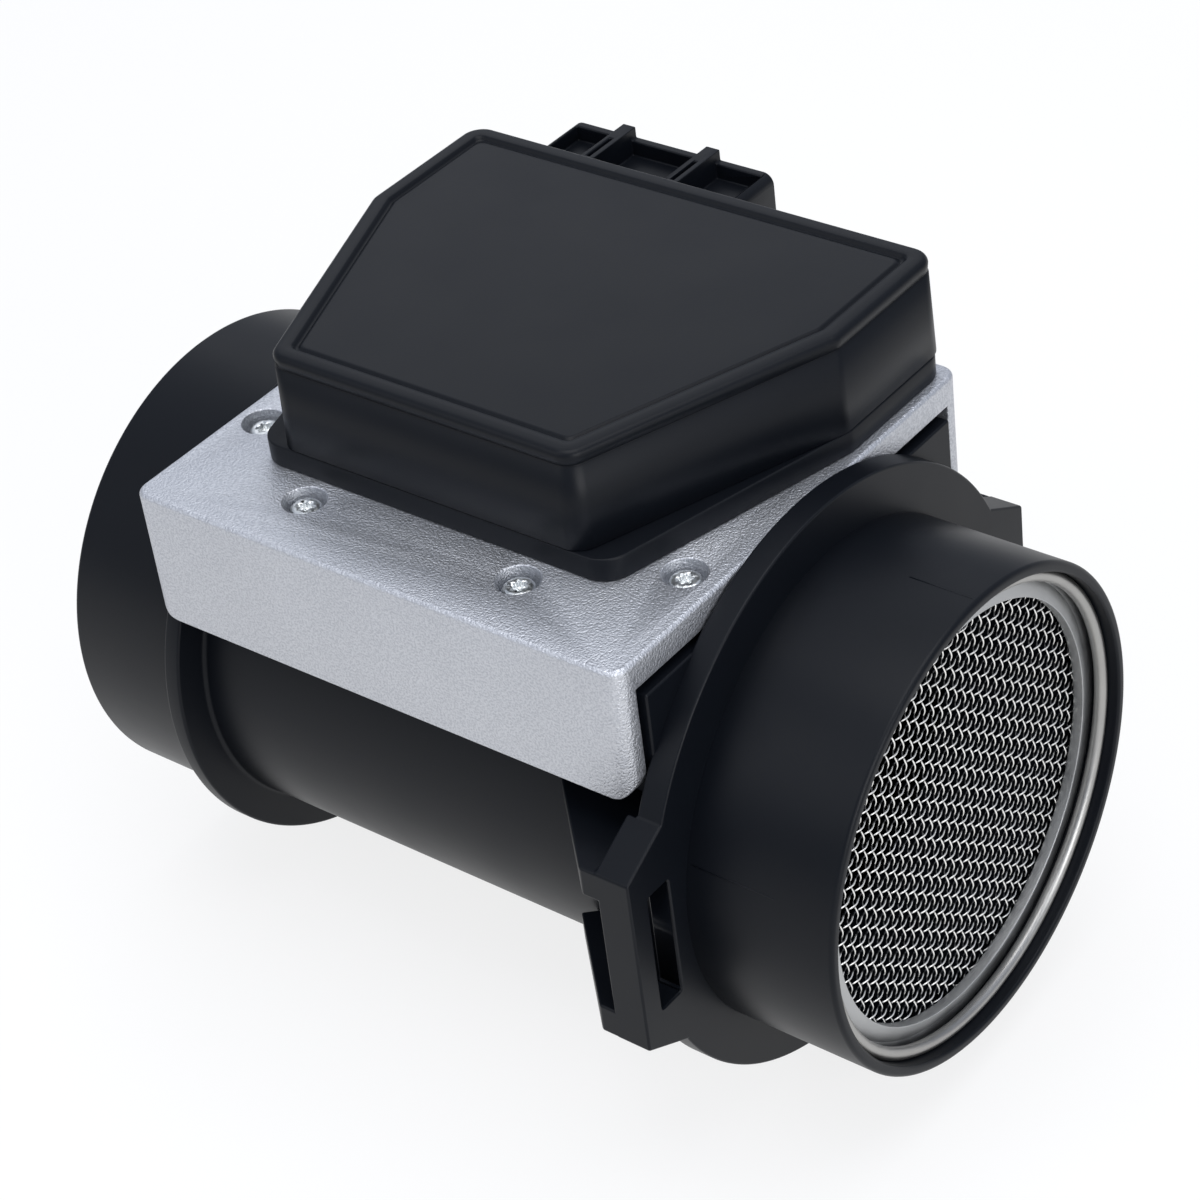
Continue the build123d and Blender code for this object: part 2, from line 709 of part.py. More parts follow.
with BuildPart() as hot_wire:
    with BuildSketch(Plane.YZ.offset(sensor_x + hook_size / 2)):
        with BuildLine():
            wire_run = Polyline(
                (-upper_hook_y, wire_z),
                (-lower_hook_y, -wire_z),
                (lower_hook_y, -wire_z),
                (upper_hook_y, wire_z),
            )
            offset(wire_run, amount=wire_size / 2, side=Side.BOTH, kind=Kind.INTERSECTION)
        make_face()
    extrude(amount=wire_size)
hot_wire.part.label = "hot_wire"
export_step(hot_wire.part, "parts/hot_wire.step")


def add_element(element_centre, length, width):
    """Thin plate hung by two legs from the top of the tube."""
    with BuildSketch(Plane.XZ) as plate:
        with Locations((element_centre, element_top - length / 2)):
            Rectangle(width, length)
    extrude(plate.sketch, amount=element_thickness / 2, both=True)
    with BuildSketch(Plane.XY.offset(element_top)) as legs:
        with Locations((element_centre, 0)):
            with GridLocations(leg_spacing, 1, 2, 1):
                Rectangle(leg_size, leg_size)
    extrude(legs.sketch, amount=tube_radius - element_top)
    end_at_tube()


with BuildPart() as temperature_sensor:
    add_element(sensor_x + element_reach, thermo_length, thermo_width)
temperature_sensor.part.label = "temperature_sensor"
export_step(temperature_sensor.part, "parts/temperature_sensor.step")

with BuildPart() as precision_resistor:
    add_element(sensor_x - element_reach, film_length, film_width)
precision_resistor.part.label = "precision_resistor"
export_step(precision_resistor.part, "parts/precision_resistor.step")

# ---------------------------- screens: frame, mesh and retaining ring at each mouth
def add_screen_frame(shoulder, way):
    """Clamping ring with a sloping front that holds the mesh's edge; way is +1 or -1 along X."""
    seat = shoulder + way * mesh_thickness
    crest = shoulder + way * frame_crest
    with BuildSketch(Plane.XY) as section:
        with BuildLine():
            Polyline(
                (seat, screen_opening_radius),
                (seat, screen_radius),
                (shoulder + way * frame_wall, screen_radius),
                (crest, frame_crest_radius),
                (crest - way * frame_fall, screen_opening_radius),
                close=True,
            )
        make_face()
    revolve(section.sketch, axis=Axis.X)


def add_mesh(shoulder, way):
    """Round mat of wires: upright ones in front and level ones behind, in a solid edge under the frame."""
    weft_plane = shoulder + way * mesh_weft
    with BuildSketch(Plane.YZ.offset(shoulder)) as level_layer:
        Circle(screen_radius)
        with GridLocations(1, level_pitch, 1, level_count) as rows:
            for row in rows.local_locations:
                half_span = sqrt(screen_opening_radius**2 - (abs(row.position.Y) + level_gap / 2) ** 2)
                with Locations(row):
                    Rectangle(2 * half_span, level_gap, mode=Mode.SUBTRACT)
    extrude(level_layer.sketch, amount=way * mesh_weft)
    with BuildSketch(Plane.YZ.offset(weft_plane)) as upright_layer:
        Circle(screen_radius)
        with GridLocations(upright_pitch, 1, upright_count, 1) as columns:
            for column in columns.local_locations:
                half_span = sqrt(screen_opening_radius**2 - (abs(column.position.X) + upright_gap / 2) ** 2)
                with Locations(column):
                    Rectangle(upright_gap, 2 * half_span, mode=Mode.SUBTRACT)
    extrude(upright_layer.sketch, amount=way * (mesh_thickness - mesh_weft))


def add_retaining_ring(mouth, way):
    """Open ring of wire sprung into a mouth in front of the frame."""
    with BuildSketch(Plane.XY) as section:
        with Locations((mouth - way * ring_setback, -retainer_radius)):
            RegularPolygon(ring_wire, ring_wire_sides)
    revolve(section.sketch, axis=Axis.X, revolution_arc=360 - ring_gap_angle)


with BuildPart() as inlet_screen_frame:
    add_screen_frame(inlet_mouth - mouth_depth, 1)
inlet_screen_frame.part.label = "inlet_screen_frame"
export_step(inlet_screen_frame.part, "parts/inlet_screen_frame.step")

with BuildPart() as outlet_screen_frame:
    add_screen_frame(outlet_mouth + mouth_depth, -1)
outlet_screen_frame.part.label = "outlet_screen_frame"
export_step(outlet_screen_frame.part, "parts/outlet_screen_frame.step")

with BuildPart() as inlet_screen:
    add_mesh(inlet_mouth - mouth_depth, 1)
inlet_screen.part.label = "inlet_screen"
export_step(inlet_screen.part, "parts/inlet_screen.step")

with BuildPart() as outlet_screen:
    add_mesh(outlet_mouth + mouth_depth, -1)
outlet_screen.part.label = "outlet_screen"
export_step(outlet_screen.part, "parts/outlet_screen.step")

with BuildPart() as inlet_retaining_ring:
    add_retaining_ring(inlet_mouth, 1)
inlet_retaining_ring.part.label = "inlet_retaining_ring"
export_step(inlet_retaining_ring.part, "parts/inlet_retaining_ring.step")

with BuildPart() as outlet_retaining_ring:
    add_retaining_ring(outlet_mouth, -1)
outlet_retaining_ring.part.label = "outlet_retaining_ring"
export_step(outlet_retaining_ring.part, "parts/outlet_retaining_ring.step")
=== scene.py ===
# %% [markdown]
# # A hot-wire air mass meter
# The meter is a moulded duct with a die-cast heat sink saddled over it, a sealed electronics box on the heat
# sink and a wire screen in each mouth. The engineering model is loaded first, because every piece made here
# takes its place from it. It is in metres, so the sizes below are written in millimetres and scaled once.

# %% Load the frame
import bmesh
import bpy
from math import acos, cos, pi, radians, sin, sqrt, tau
from mathutils import Matrix, Vector
from mathutils.geometry import tessellate_polygon


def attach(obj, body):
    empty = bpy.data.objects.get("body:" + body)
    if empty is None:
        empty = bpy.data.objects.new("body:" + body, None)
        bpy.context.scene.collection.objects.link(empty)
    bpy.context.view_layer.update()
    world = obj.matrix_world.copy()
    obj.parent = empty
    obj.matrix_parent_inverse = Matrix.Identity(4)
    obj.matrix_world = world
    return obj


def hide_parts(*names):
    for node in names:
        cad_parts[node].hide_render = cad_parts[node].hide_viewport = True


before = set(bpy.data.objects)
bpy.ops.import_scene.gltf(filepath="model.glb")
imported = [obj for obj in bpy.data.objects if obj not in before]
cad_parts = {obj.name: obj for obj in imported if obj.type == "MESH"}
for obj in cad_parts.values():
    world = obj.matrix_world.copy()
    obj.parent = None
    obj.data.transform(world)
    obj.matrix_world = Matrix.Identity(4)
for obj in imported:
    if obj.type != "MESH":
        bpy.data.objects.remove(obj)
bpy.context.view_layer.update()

MM = 0.001
scene = bpy.context.scene
scene.view_settings.view_transform = "Standard"
print("nodes:", len(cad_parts))

# %% [markdown]
# ## Camera
# A long lens from the front, above and to the side of the inlet flattens the perspective. A camera could be
# turned towards a target instead, but its place and its three axes are given here, which keeps a slight roll.

# %% Camera
CAMERA_PLACE = Vector((243.786, -322.000, 335.613))
CAMERA_RIGHT = Vector((0.789656, 0.603680, -0.109608))
CAMERA_UP = Vector((-0.292614, 0.527563, 0.797530))
CAMERA_BACK = Vector((0.539278, -0.597702, 0.593238))
LENS_MM = 99.159
SENSOR_MM = 36.0

camera_data = bpy.data.cameras.new("camera")
camera_data.lens = LENS_MM
camera_data.sensor_width = SENSOR_MM
camera_data.clip_end = 20.0
camera = bpy.data.objects.new("camera", camera_data)
scene.collection.objects.link(camera)
turn = Matrix((CAMERA_RIGHT, CAMERA_UP, CAMERA_BACK)).transposed().to_4x4()
camera.matrix_world = Matrix.Translation(CAMERA_PLACE * MM) @ turn
scene.camera = camera
print("camera distance from the origin, mm:", round(CAMERA_PLACE.length))

# %% [markdown]
# ## One helper for every node
# Materials and geometry trees are both built from nodes. One small function adds a node with its settings,
# its plain values and its links, and another turns a hex colour into the linear one that shaders expect.


# %% Node helper and colours
def add_node(tree, kind, settings=None, values=None, links=None):
    """Add a node: settings are its properties, values its plain inputs, links the sockets that feed it."""
    node = tree.nodes.new(kind)
    for key, value in (settings or {}).items():
        setattr(node, key, value)
    for key, value in (values or {}).items():
        node.inputs[key].default_value = value
    for key, source in (links or {}).items():
        tree.links.new(source, node.inputs[key])
    return node


def srgb(code):
    """Linear colour of an sRGB hex value."""
    channels = [int(code[at:at + 2], 16) / 255 for at in (1, 3, 5)]
    return tuple(c / 12.92 if c <= 0.04045 else ((c + 0.055) / 1.055) ** 2.4 for c in channels) + (1.0,)


print("mid grey is", round(srgb("#808080")[0], 3), "in linear light")

# %% [markdown]
# ## A finish in general
# Every finish here is one surface with two things laid over it: a slow change of shade and gloss, as handling
# and casting leave it, and a fine grain that only tilts the surface. Both are noise in object space, and their
# sizes are real ones, so the grain doesn't swim or stretch.


# %% Base of every finish
NOISE_LOW, NOISE_HIGH = 0.3, 0.7  # nearly all of a noise pattern lies between these


def make_finish(name, light, dark, patch_mm, grain_mm, grain_depth_mm, gloss, shader):
    """A material whose shade runs between two colours and whose roughness runs between the gloss pair."""
    material = bpy.data.materials.new(name)
    material.use_nodes = True
    tree = material.node_tree
    tree.nodes.clear()
    place = add_node(tree, "ShaderNodeTexCoord").outputs["Object"]
    patches = add_node(
        tree,
        "ShaderNodeTexNoise",
        values={"Scale": 1 / (patch_mm * MM), "Detail": 3.0},
        links={"Vector": place},
    )
    grain = add_node(
        tree,
        "ShaderNodeTexNoise",
        values={"Scale": 1 / (grain_mm * MM), "Detail": 2.0},
        links={"Vector": place},
    )
    shade = add_node(
        tree,
        "ShaderNodeMix",
        settings={"data_type": "RGBA"},
        values={6: srgb(dark), 7: srgb(light)},
        links={0: patches.outputs["Fac"]},
    )
    roughness = add_node(
        tree,
        "ShaderNodeMapRange",
        values={"From Min": NOISE_LOW, "From Max": NOISE_HIGH, "To Min": gloss[0], "To Max": gloss[1]},
        links={"Value": patches.outputs["Fac"]},
    )
    bump = add_node(
        tree,
        "ShaderNodeBump",
        values={"Distance": grain_depth_mm * MM, "Strength": 1.0},
        links={"Height": grain.outputs["Fac"]},
    )
    surface = add_node(
        tree,
        "ShaderNodeBsdfPrincipled",
        values=shader,
        links={
            "Base Color": shade.outputs[2],
            "Roughness": roughness.outputs["Result"],
            "Normal": bump.outputs["Normal"],
        },
    )
    add_node(tree, "ShaderNodeOutputMaterial", links={"Surface": surface.outputs["BSDF"]})
    material["surface"] = surface.name
    return material


# %% [markdown]
# ## Black glass-filled nylon
# The duct, the box and the socket are injection moulded in black nylon with glass fibre. Spark-eroded moulds
# leave a fine satin grain of about 0.1 mm; it is drawn at 0.3 mm, because finer would vanish between pixels.
# The shade is a cool near-black, a little uneven where the melt flowed.

# %% Moulded black
moulded_black = make_finish(
    "glass_filled_nylon_moulded", "#0c0f15", "#0a0d12", 14.0, 0.3, 0.008, (0.37, 0.41),
    {"IOR": 1.5, "Specular IOR Level": 0.16},
)
ring_black = make_finish(
    "nylon_moulded_matte", "#121316", "#0e0f11", 9.0, 0.3, 0.015, (0.55, 0.65),
    {"IOR": 1.5, "Specular IOR Level": 0.25},
)
print("plastics:", moulded_black.name, ring_black.name)

# %% [markdown]
# ## Die-cast aluminium
# The heat sink is die cast and then tumbled or blasted, which leaves a pale satin skin of small dimples, each
# with its own glint. A metal has no diffuse colour, so the look is nearly all in its roughness and its grain:
# dimples about 0.36 mm across over finer ones. The same noise makes the high spots duller and a little greyer.

# %% Cast aluminium
DIMPLE_MM, DIMPLE_DEPTH_MM = 0.36, 0.16
DIMPLE_GLOSS = {"From Min": 0.35, "From Max": 0.65, "To Min": 0.46, "To Max": 0.6}
DIMPLE_GREY = {"From Min": 0.42, "From Max": 0.62, "To Min": 0.0, "To Max": 0.26}


def make_cast_aluminium():
    """Satin cast skin: two sizes of dimple, and a gloss that changes from dimple to dimple."""
    material = make_finish(
        "aluminium_die_cast", "#cfd1d6", "#c6c8cd", 22.0, 0.22, 0.02, (0.5, 0.6), {"Metallic": 1.0}
    )
    tree = material.node_tree
    place = add_node(tree, "ShaderNodeTexCoord").outputs["Object"]
    surface = tree.nodes[material["surface"]]
    dimples = add_node(
        tree,
        "ShaderNodeTexNoise",
        values={"Scale": 1 / (DIMPLE_MM * MM), "Detail": 1.0},
        links={"Vector": place},
    )
    finer = surface.inputs["Normal"].links[0].from_socket
    bump = add_node(
        tree,
        "ShaderNodeBump",
        values={"Distance": DIMPLE_DEPTH_MM * MM, "Strength": 1.0},
        links={"Height": dimples.outputs["Fac"], "Normal": finer},
    )
    tree.links.new(bump.outputs["Normal"], surface.inputs["Normal"])
    glint = add_node(tree, "ShaderNodeMapRange", values=DIMPLE_GLOSS, links={"Value": dimples.outputs["Fac"]})
    tree.links.new(glint.outputs["Result"], surface.inputs["Roughness"])
    greyer = add_node(tree, "ShaderNodeMapRange", values=DIMPLE_GREY, links={"Value": dimples.outputs["Fac"]})
    skin = surface.inputs["Base Color"].links[0].from_socket
    speckled = add_node(
        tree,
        "ShaderNodeMix",
        settings={"data_type": "RGBA"},
        values={7: srgb("#8d9098")},
        links={0: greyer.outputs["Result"], 6: skin},
    )
    tree.links.new(speckled.outputs[2], surface.inputs["Base Color"])
    return material


cast_aluminium = make_cast_aluminium()
print("metal:", cast_aluminium.name)

# %% [markdown]
# ## Small metals and the inner pieces
# The screws are zinc plated and tumbled, so they are bright and blotchy. The screen's frame is pressed and
# matte, and the spring ring is darker drawn wire. The cloth's wires are bright on the crests that face out of
# the duct, and painted shade makes them dark grey in the dips between, where the crossing wires shade them,
# so this painted shade follows an attribute that the weave stores along each wire. Pieces inside the box have
# plain finishes of their own kind, in case a lid is lifted from them.

# %% Metals and inner finishes
zinc_steel = make_finish(
    "steel_zinc_plated", "#f4f6f5", "#b4b8ba", 0.9, 0.8, 0.12, (0.26, 0.4), {"Metallic": 1.0}
)
pressed_steel = make_finish(
    "steel_pressed_matte", "#c2c3c3", "#aeafb0", 6.0, 0.35, 0.02, (0.46, 0.56), {"Metallic": 1.0}
)
mesh_steel = make_finish(
    "steel_wire_dips_shaded", "#fbfaf7", "#efeeea", 3.0, 0.25, 0.004, (0.24, 0.34), {"Metallic": 1.0}
)
tree = mesh_steel.node_tree
surface = tree.nodes[mesh_steel["surface"]]
rise = add_node(tree, "ShaderNodeAttribute", settings={"attribute_name": "outward_rise"})
# Painted shade: where a wire dips away from the outside, its colour is mixed towards dark grey.
dip_shade_mask = add_node(
    tree,
    "ShaderNodeMapRange",
    settings={"interpolation_type": "SMOOTHSTEP"},
    values={"From Min": -0.7, "From Max": 0.2, "To Min": 0.0, "To Max": 1.0},
    links={"Value": rise.outputs["Fac"]},
)
# The dark grey here is painted shade, not a colour of the steel.
dip_shaded_colour = add_node(
    tree,
    "ShaderNodeMix",
    settings={"data_type": "RGBA"},
    values={6: srgb("#47484b")},
    links={0: dip_shade_mask.outputs["Result"], 7: surface.inputs["Base Color"].links[0].from_socket},
)
tree.links.new(dip_shaded_colour.outputs[2], surface.inputs["Base Color"])
spring_wire = make_finish(
    "spring_wire_drawn", "#b4b3b0", "#989795", 8.0, 0.35, 0.014, (0.36, 0.44), {"Metallic": 1.0}
)
seal_rubber = make_finish("rubber_moulded", "#202020", "#151515", 5.0, 0.3, 0.02, (0.7, 0.85), {})
tinned_blade = make_finish(
    "brass_tin_plated", "#d9d7d0", "#c2c0b9", 4.0, 0.3, 0.004, (0.3, 0.42), {"Metallic": 1.0}
)
ceramic_board = make_finish("alumina_fired", "#e6e3da", "#d6d3c9", 7.0, 0.2, 0.008, (0.5, 0.62), {"IOR": 1.7})
chip_black = make_finish("epoxy_moulded", "#26272a", "#1b1c1e", 4.0, 0.2, 0.008, (0.5, 0.6), {"IOR": 1.55})
capacitor_tan = make_finish(
    "ceramic_unglazed_tan", "#a88457", "#93714a", 2.0, 0.2, 0.006, (0.45, 0.6), {"IOR": 1.6}
)
platinum = make_finish("platinum_drawn", "#e0ddd6", "#cfccc6", 3.0, 0.2, 0.002, (0.2, 0.3), {"Metallic": 1.0})
print("finishes:", len(bpy.data.materials))

# %% [markdown]
# ## Shapes from outlines
# Most of the housing is either turned about the duct's axis or cut from flat outlines, as its mould was. Three
# helpers cover both: one rounds the corners of an outline, one turns a section about X, and one makes a slab
# from an outline with holes. A Bevel modifier then gives slabs the small radius that a mould leaves on an edge.
# The other helpers clean, join and seat what these make.


# %% Outline and mesh helpers
FLAT_DEGREES = 0.2  # faces that meet at less than this are one flat face


def rounded(corners, steps=6):
    """Outline through (a, b, radius) corners, each rounded by an arc of that radius."""
    outline = []
    for at, (a, b, radius) in enumerate(corners):
        corner = Vector((a, b))
        before = (Vector(corners[at - 1][:2]) - corner).normalized()
        after = (Vector(corners[(at + 1) % len(corners)][:2]) - corner).normalized()
        if radius <= 0:
            outline.append(corner)
            continue
        half = acos(max(-1.0, min(1.0, before.dot(after)))) / 2
        centre = corner + (before + after).normalized() * (radius / sin(half))
        start = corner + before * (radius / (sin(half) / cos(half))) - centre
        end = corner + after * (radius / (sin(half) / cos(half))) - centre
        sweep = start.angle_signed(end)
        for step in range(steps + 1):
            outline.append(centre + Matrix.Rotation(-sweep * step / steps, 2) @ start)
    return outline


def build_mesh(name, corners, faces):
    """Object from millimetre corners, with its faces turned outwards."""
    mesh = bpy.data.meshes.new(name)
    mesh.from_pydata([Vector(corner) * MM for corner in corners], [], faces)
    work = bmesh.new()
    work.from_mesh(mesh)
    bmesh.ops.remove_doubles(work, verts=work.verts, dist=1e-7)
    bmesh.ops.recalc_face_normals(work, faces=work.faces)
    work.to_mesh(mesh)
    work.free()
    mesh.shade_smooth()
    piece = bpy.data.objects.new(name, mesh)
    scene.collection.objects.link(piece)
    return piece


def clean_flats(mesh, flat_degrees, merge_m=0.0):
    """Make each flat face whole, and first merge corners that lie together if a distance is given."""
    work = bmesh.new()
    work.from_mesh(mesh)
    if merge_m:
        bmesh.ops.remove_doubles(work, verts=work.verts, dist=merge_m)
    bmesh.ops.dissolve_limit(work, angle_limit=radians(flat_degrees), verts=work.verts, edges=work.edges)
    work.to_mesh(mesh)
    work.free()


def finished_mesh(piece):
    """Plain mesh of a piece with its modifiers run, which are then removed."""
    graph = bpy.context.evaluated_depsgraph_get()
    graph.update()
    mesh = bpy.data.meshes.new_from_object(piece.evaluated_get(graph), depsgraph=graph)
    piece.modifiers.clear()
    return mesh


def turned(name, section, segments=256, start=0.0, sweep=tau):
    """Closed (x, radius) section turned about X; a part turn starts at an angle from +Y and gets end caps."""
    rings = segments if sweep == tau else segments + 1
    count = len(section)
    corners = [
        (x, r * cos(start + sweep * ring / segments), r * sin(start + sweep * ring / segments))
        for ring in range(rings)
        for x, r in section
    ]
    faces = []
    for ring in range(segments):
        here, there = ring * count, (ring + 1) % rings * count
        faces += [
            (here + at, here + (at + 1) % count, there + (at + 1) % count, there + at) for at in range(count)
        ]
    if sweep != tau:
        faces += [tuple(range(count)), tuple(range((rings - 1) * count, rings * count))]
    return build_mesh(name, corners, faces)


def slab(name, outlines, low, high, axis):
    """Slab between two heights on an axis; the first outline is its rim and the others are holes."""
    loops = [[(p[0], p[1]) for p in outline] for outline in outlines]
    flat = [p for loop in loops for p in loop]
    place = {"X": lambda a, b, h: (h, a, b), "Z": lambda a, b, h: (a, b, h)}[axis]
    corners = [place(a, b, height) for height in (low, high) for a, b in flat]
    cap = tessellate_polygon([[Vector((a, b, 0)) for a, b in loop] for loop in loops])
    faces = [tuple(face) for face in cap] + [tuple(at + len(flat) for at in face) for face in cap]
    first = 0
    for loop in loops:
        for at in range(len(loop)):
            a, b = first + at, first + (at + 1) % len(loop)
            faces.append((a, b, b + len(flat), a + len(flat)))
        first += len(loop)
    piece = build_mesh(name, corners, faces)
    clean_flats(piece.data, FLAT_DEGREES)
    piece.data.shade_smooth()
    return piece


def soften(piece, width_mm, segments=3, sharpest=30.0):
    """Round every edge sharper than an angle, and keep the flats flat."""
    bevel = piece.modifiers.new("mould_radius", "BEVEL")
    bevel.width = width_mm * MM
    bevel.segments = segments
    bevel.limit_method = "ANGLE"
    bevel.angle_limit = radians(sharpest)
    bevel.use_clamp_overlap = False
    bevel.harden_normals = True
    return piece


def merged(name, pieces):
    """One object from several, whose meshes stay separate shells in it."""
    work = bmesh.new()
    for piece in pieces:
        work.from_mesh(piece.data)
        bpy.data.objects.remove(piece)
    mesh = bpy.data.meshes.new(name)
    work.to_mesh(mesh)
    work.free()
    joined = bpy.data.objects.new(name, mesh)
    scene.collection.objects.link(joined)
    mesh.shade_smooth()
    return joined


def fused(name, pieces):
    """One solid where several overlap, with its flat faces whole again."""
    base = pieces[0]
    base.name = name
    for piece in pieces[1:]:
        joint = base.modifiers.new("fuse", "BOOLEAN")
        joint.operation = "UNION"
        joint.solver = "EXACT"
        joint.object = piece
    mesh = finished_mesh(base)
    clean_flats(mesh, FLAT_DEGREES, 1e-6)
    base.data = mesh
    for piece in pieces[1:]:
        bpy.data.objects.remove(piece)
    print(name, "open edges:", sum(1 for count in edge_uses(mesh).values() if count != 2))
    return base


def edge_uses(mesh):
    """How many faces each edge of a mesh has."""
    uses = {}
    for face in mesh.polygons:
        for key in face.edge_keys:
            uses[key] = uses.get(key, 0) + 1
    return uses


def seat_piece(piece, material, slot_name, *nodes):
    """Give a finished piece its material and body, and hide the nodes that it stands for. Its slot name is not
    used.
    """
    piece.data.materials.clear()
    piece.data.materials.append(material)
    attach(piece, "root")
    if nodes:
        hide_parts(*nodes)
    print(piece.name, "faces:", len(piece.data.polygons))


# %% [markdown]
# ## Duct shell
# The sleeves, the centre tube and the round outlet flange are one turned form. Its section is drawn once: a
# soft lip at the mouths, a fillet at the outlet flange's foot, and steps inside for the screens and the sensor
# ring. The step under the inlet flange has no radius, because the flange covers it. Turning the section in 256
# steps keeps the outline round in a close view.

# %% Duct shell
INLET_MOUTH, OUTLET_MOUTH = 26.4, -129.6
INLET_FACE, INLET_BACK = 0.0, -4.5
OUTLET_FACE, OUTLET_BACK = -105.2, -101.9
SLEEVE_R, CENTRE_R, MOUTH_R, BORE_R, OUTLET_BORE_R = 42.0, 39.2, 40.1, 37.0, 36.0
OUTLET_FLANGE_R, INLET_FLANGE_R = 45.4, 50.2
MOUTH_DEPTH, RING_STOP = 6.5, -65.6
INLET_SHOULDER, OUTLET_SHOULDER = INLET_MOUTH - MOUTH_DEPTH, OUTLET_MOUTH + MOUTH_DEPTH

shell_section = rounded([
    (OUTLET_MOUTH, SLEEVE_R, 0.8),
    (OUTLET_FACE, SLEEVE_R, 0.8),
    (OUTLET_FACE, OUTLET_FLANGE_R, 0.5),
    (OUTLET_BACK, OUTLET_FLANGE_R, 0.5),
    (OUTLET_BACK, CENTRE_R, 0.8),
    (INLET_BACK + 1, CENTRE_R, 0),
    (INLET_FACE - 1, SLEEVE_R, 0),
    (INLET_MOUTH, SLEEVE_R, 0.8),
    (INLET_MOUTH, MOUTH_R, 0.5),
    (INLET_SHOULDER, MOUTH_R, 0.2),
    (INLET_SHOULDER, BORE_R, 0.3),
    (RING_STOP, BORE_R, 0),
    (RING_STOP, OUTLET_BORE_R, 0.3),
    (OUTLET_SHOULDER, OUTLET_BORE_R, 0.3),
    (OUTLET_SHOULDER, MOUTH_R, 0.2),
    (OUTLET_MOUTH, MOUTH_R, 0.5),
])
duct_shell = turned("duct_shell", shell_section)
print("shell section corners:", len(shell_section))

# %% [markdown]
# ## Inlet flange and its clip ears
# The flange is a disc whose two ears are drawn in the same outline, so one slab gives both and their slots.
# The bar and the arms that a spring clip hooks over go deeper than the flange. They are slabs of their own,
# fused to it by an exact Boolean. The bar starts at the flange's own corner, so that faces in one plane join.

# %% Inlet flange and ears
EAR_REACH, EAR_INNER, EAR_HALF = 54.5, 45.3, 16.6
SLOT_OUTER, SLOT_HALF = 50.3, 11.2
BAR_DEPTH, ARM_DEPTH = 6.2, 9.0
BAR_SINK, ARM_SINK = 1.5, 2.0  # how far bar and arms reach into the flange
HOLE_R, SLOT_CORNER = CENTRE_R - 0.7, 0.6
WEB_FOOT, WEB_FOOT_R, WEB_TOP_R = 6.0, 34.0, 38.4  # where an arm's web ends inside the tube's wall
RIM_STEPS, HOLE_STEPS = 96, 128

root_angle = acos(EAR_INNER / INLET_FLANGE_R)
top_arc = [
    (INLET_FLANGE_R * cos(root_angle + (pi - 2 * root_angle) * step / RIM_STEPS),
     INLET_FLANGE_R * sin(root_angle + (pi - 2 * root_angle) * step / RIM_STEPS))
    for step in range(RIM_STEPS + 1)
]
ear_side = [(EAR_REACH, -EAR_HALF), (EAR_REACH, EAR_HALF)]
flange_rim = top_arc + [(-y, -z) for y, z in ear_side] + [(-y, -z) for y, z in top_arc] + ear_side
flange_hole = [
    (HOLE_R * cos(tau * s / HOLE_STEPS), HOLE_R * sin(tau * s / HOLE_STEPS)) for s in range(HOLE_STEPS)
]
slots = [
    rounded([(side * EAR_INNER, -SLOT_HALF, SLOT_CORNER), (side * SLOT_OUTER, -SLOT_HALF, SLOT_CORNER),
             (side * SLOT_OUTER, SLOT_HALF, SLOT_CORNER), (side * EAR_INNER, SLOT_HALF, SLOT_CORNER)], 3)
    for side in (-1, 1)
]
ears = [slab("flange", [flange_rim, flange_hole, *slots], INLET_BACK, INLET_FACE, "X")]

for side in (-1, 1):
    bar = [
        top_arc[0], (EAR_REACH, EAR_HALF), (EAR_REACH, -EAR_HALF), (top_arc[0][0], -top_arc[0][1]),
        (EAR_INNER, -SLOT_HALF), (SLOT_OUTER, -SLOT_HALF), (SLOT_OUTER, SLOT_HALF), (EAR_INNER, SLOT_HALF),
    ]
    bar_rim = [(side * y, z) for y, z in bar]
    ears.append(slab("bar", [bar_rim], INLET_FACE - BAR_DEPTH, INLET_BACK + BAR_SINK, "X"))
    web_run = EAR_REACH - CENTRE_R
    arm = [
        (INLET_BACK + ARM_SINK, EAR_REACH), (-ARM_DEPTH, EAR_REACH), (-ARM_DEPTH - web_run, CENTRE_R),
        (-ARM_DEPTH - web_run + WEB_FOOT, WEB_FOOT_R), (INLET_BACK + ARM_SINK, WEB_TOP_R),
    ]
    for low, high in ((-EAR_HALF, -SLOT_HALF), (SLOT_HALF, EAR_HALF)):
        ears.append(slab("arm", [[(x, side * y) for x, y in arm]], low, high, "Z"))
housing = [duct_shell, fused("eared_flange", ears)]

# %% [markdown]
# ## Seat under the heat sink
# The moulding's seat is a block arched over the tube. Its arch is drawn a little inside the tube's wall and
# its ends a little inside both flanges, so that rounded edges open no gap. It could be fused as the ears are,
# but nothing shows where it meets the tube, so the shells are only put in one object for a Bevel to round.

# %% Seat and finished housing
SEAT_HALF, SEAT_BOTTOM, SEAT_TOP, SEAT_ARCH_R = 40.4, 24.0, 41.0, 38.2
SEAT_SINK, ARCH_STEPS = 0.6, 48
arch_end = acos(sqrt(SEAT_ARCH_R**2 - SEAT_BOTTOM**2) / SEAT_ARCH_R)
arch = [
    (SEAT_ARCH_R * cos(arch_end + (pi - 2 * arch_end) * s / ARCH_STEPS),
     SEAT_ARCH_R * sin(arch_end + (pi - 2 * arch_end) * s / ARCH_STEPS))
    for s in range(ARCH_STEPS + 1)
]
seat_rim = [(SEAT_HALF, SEAT_BOTTOM), (SEAT_HALF, SEAT_TOP), (-SEAT_HALF, SEAT_TOP), (-SEAT_HALF, SEAT_BOTTOM)]
housing.append(slab("seat", [seat_rim + arch[::-1]], OUTLET_BACK - SEAT_SINK, INLET_BACK + SEAT_SINK, "X"))

duct_body = merged("duct_body", housing)
soften(duct_body, 0.4)
seat_piece(duct_body, moulded_black, "moulded_black", "duct_housing")

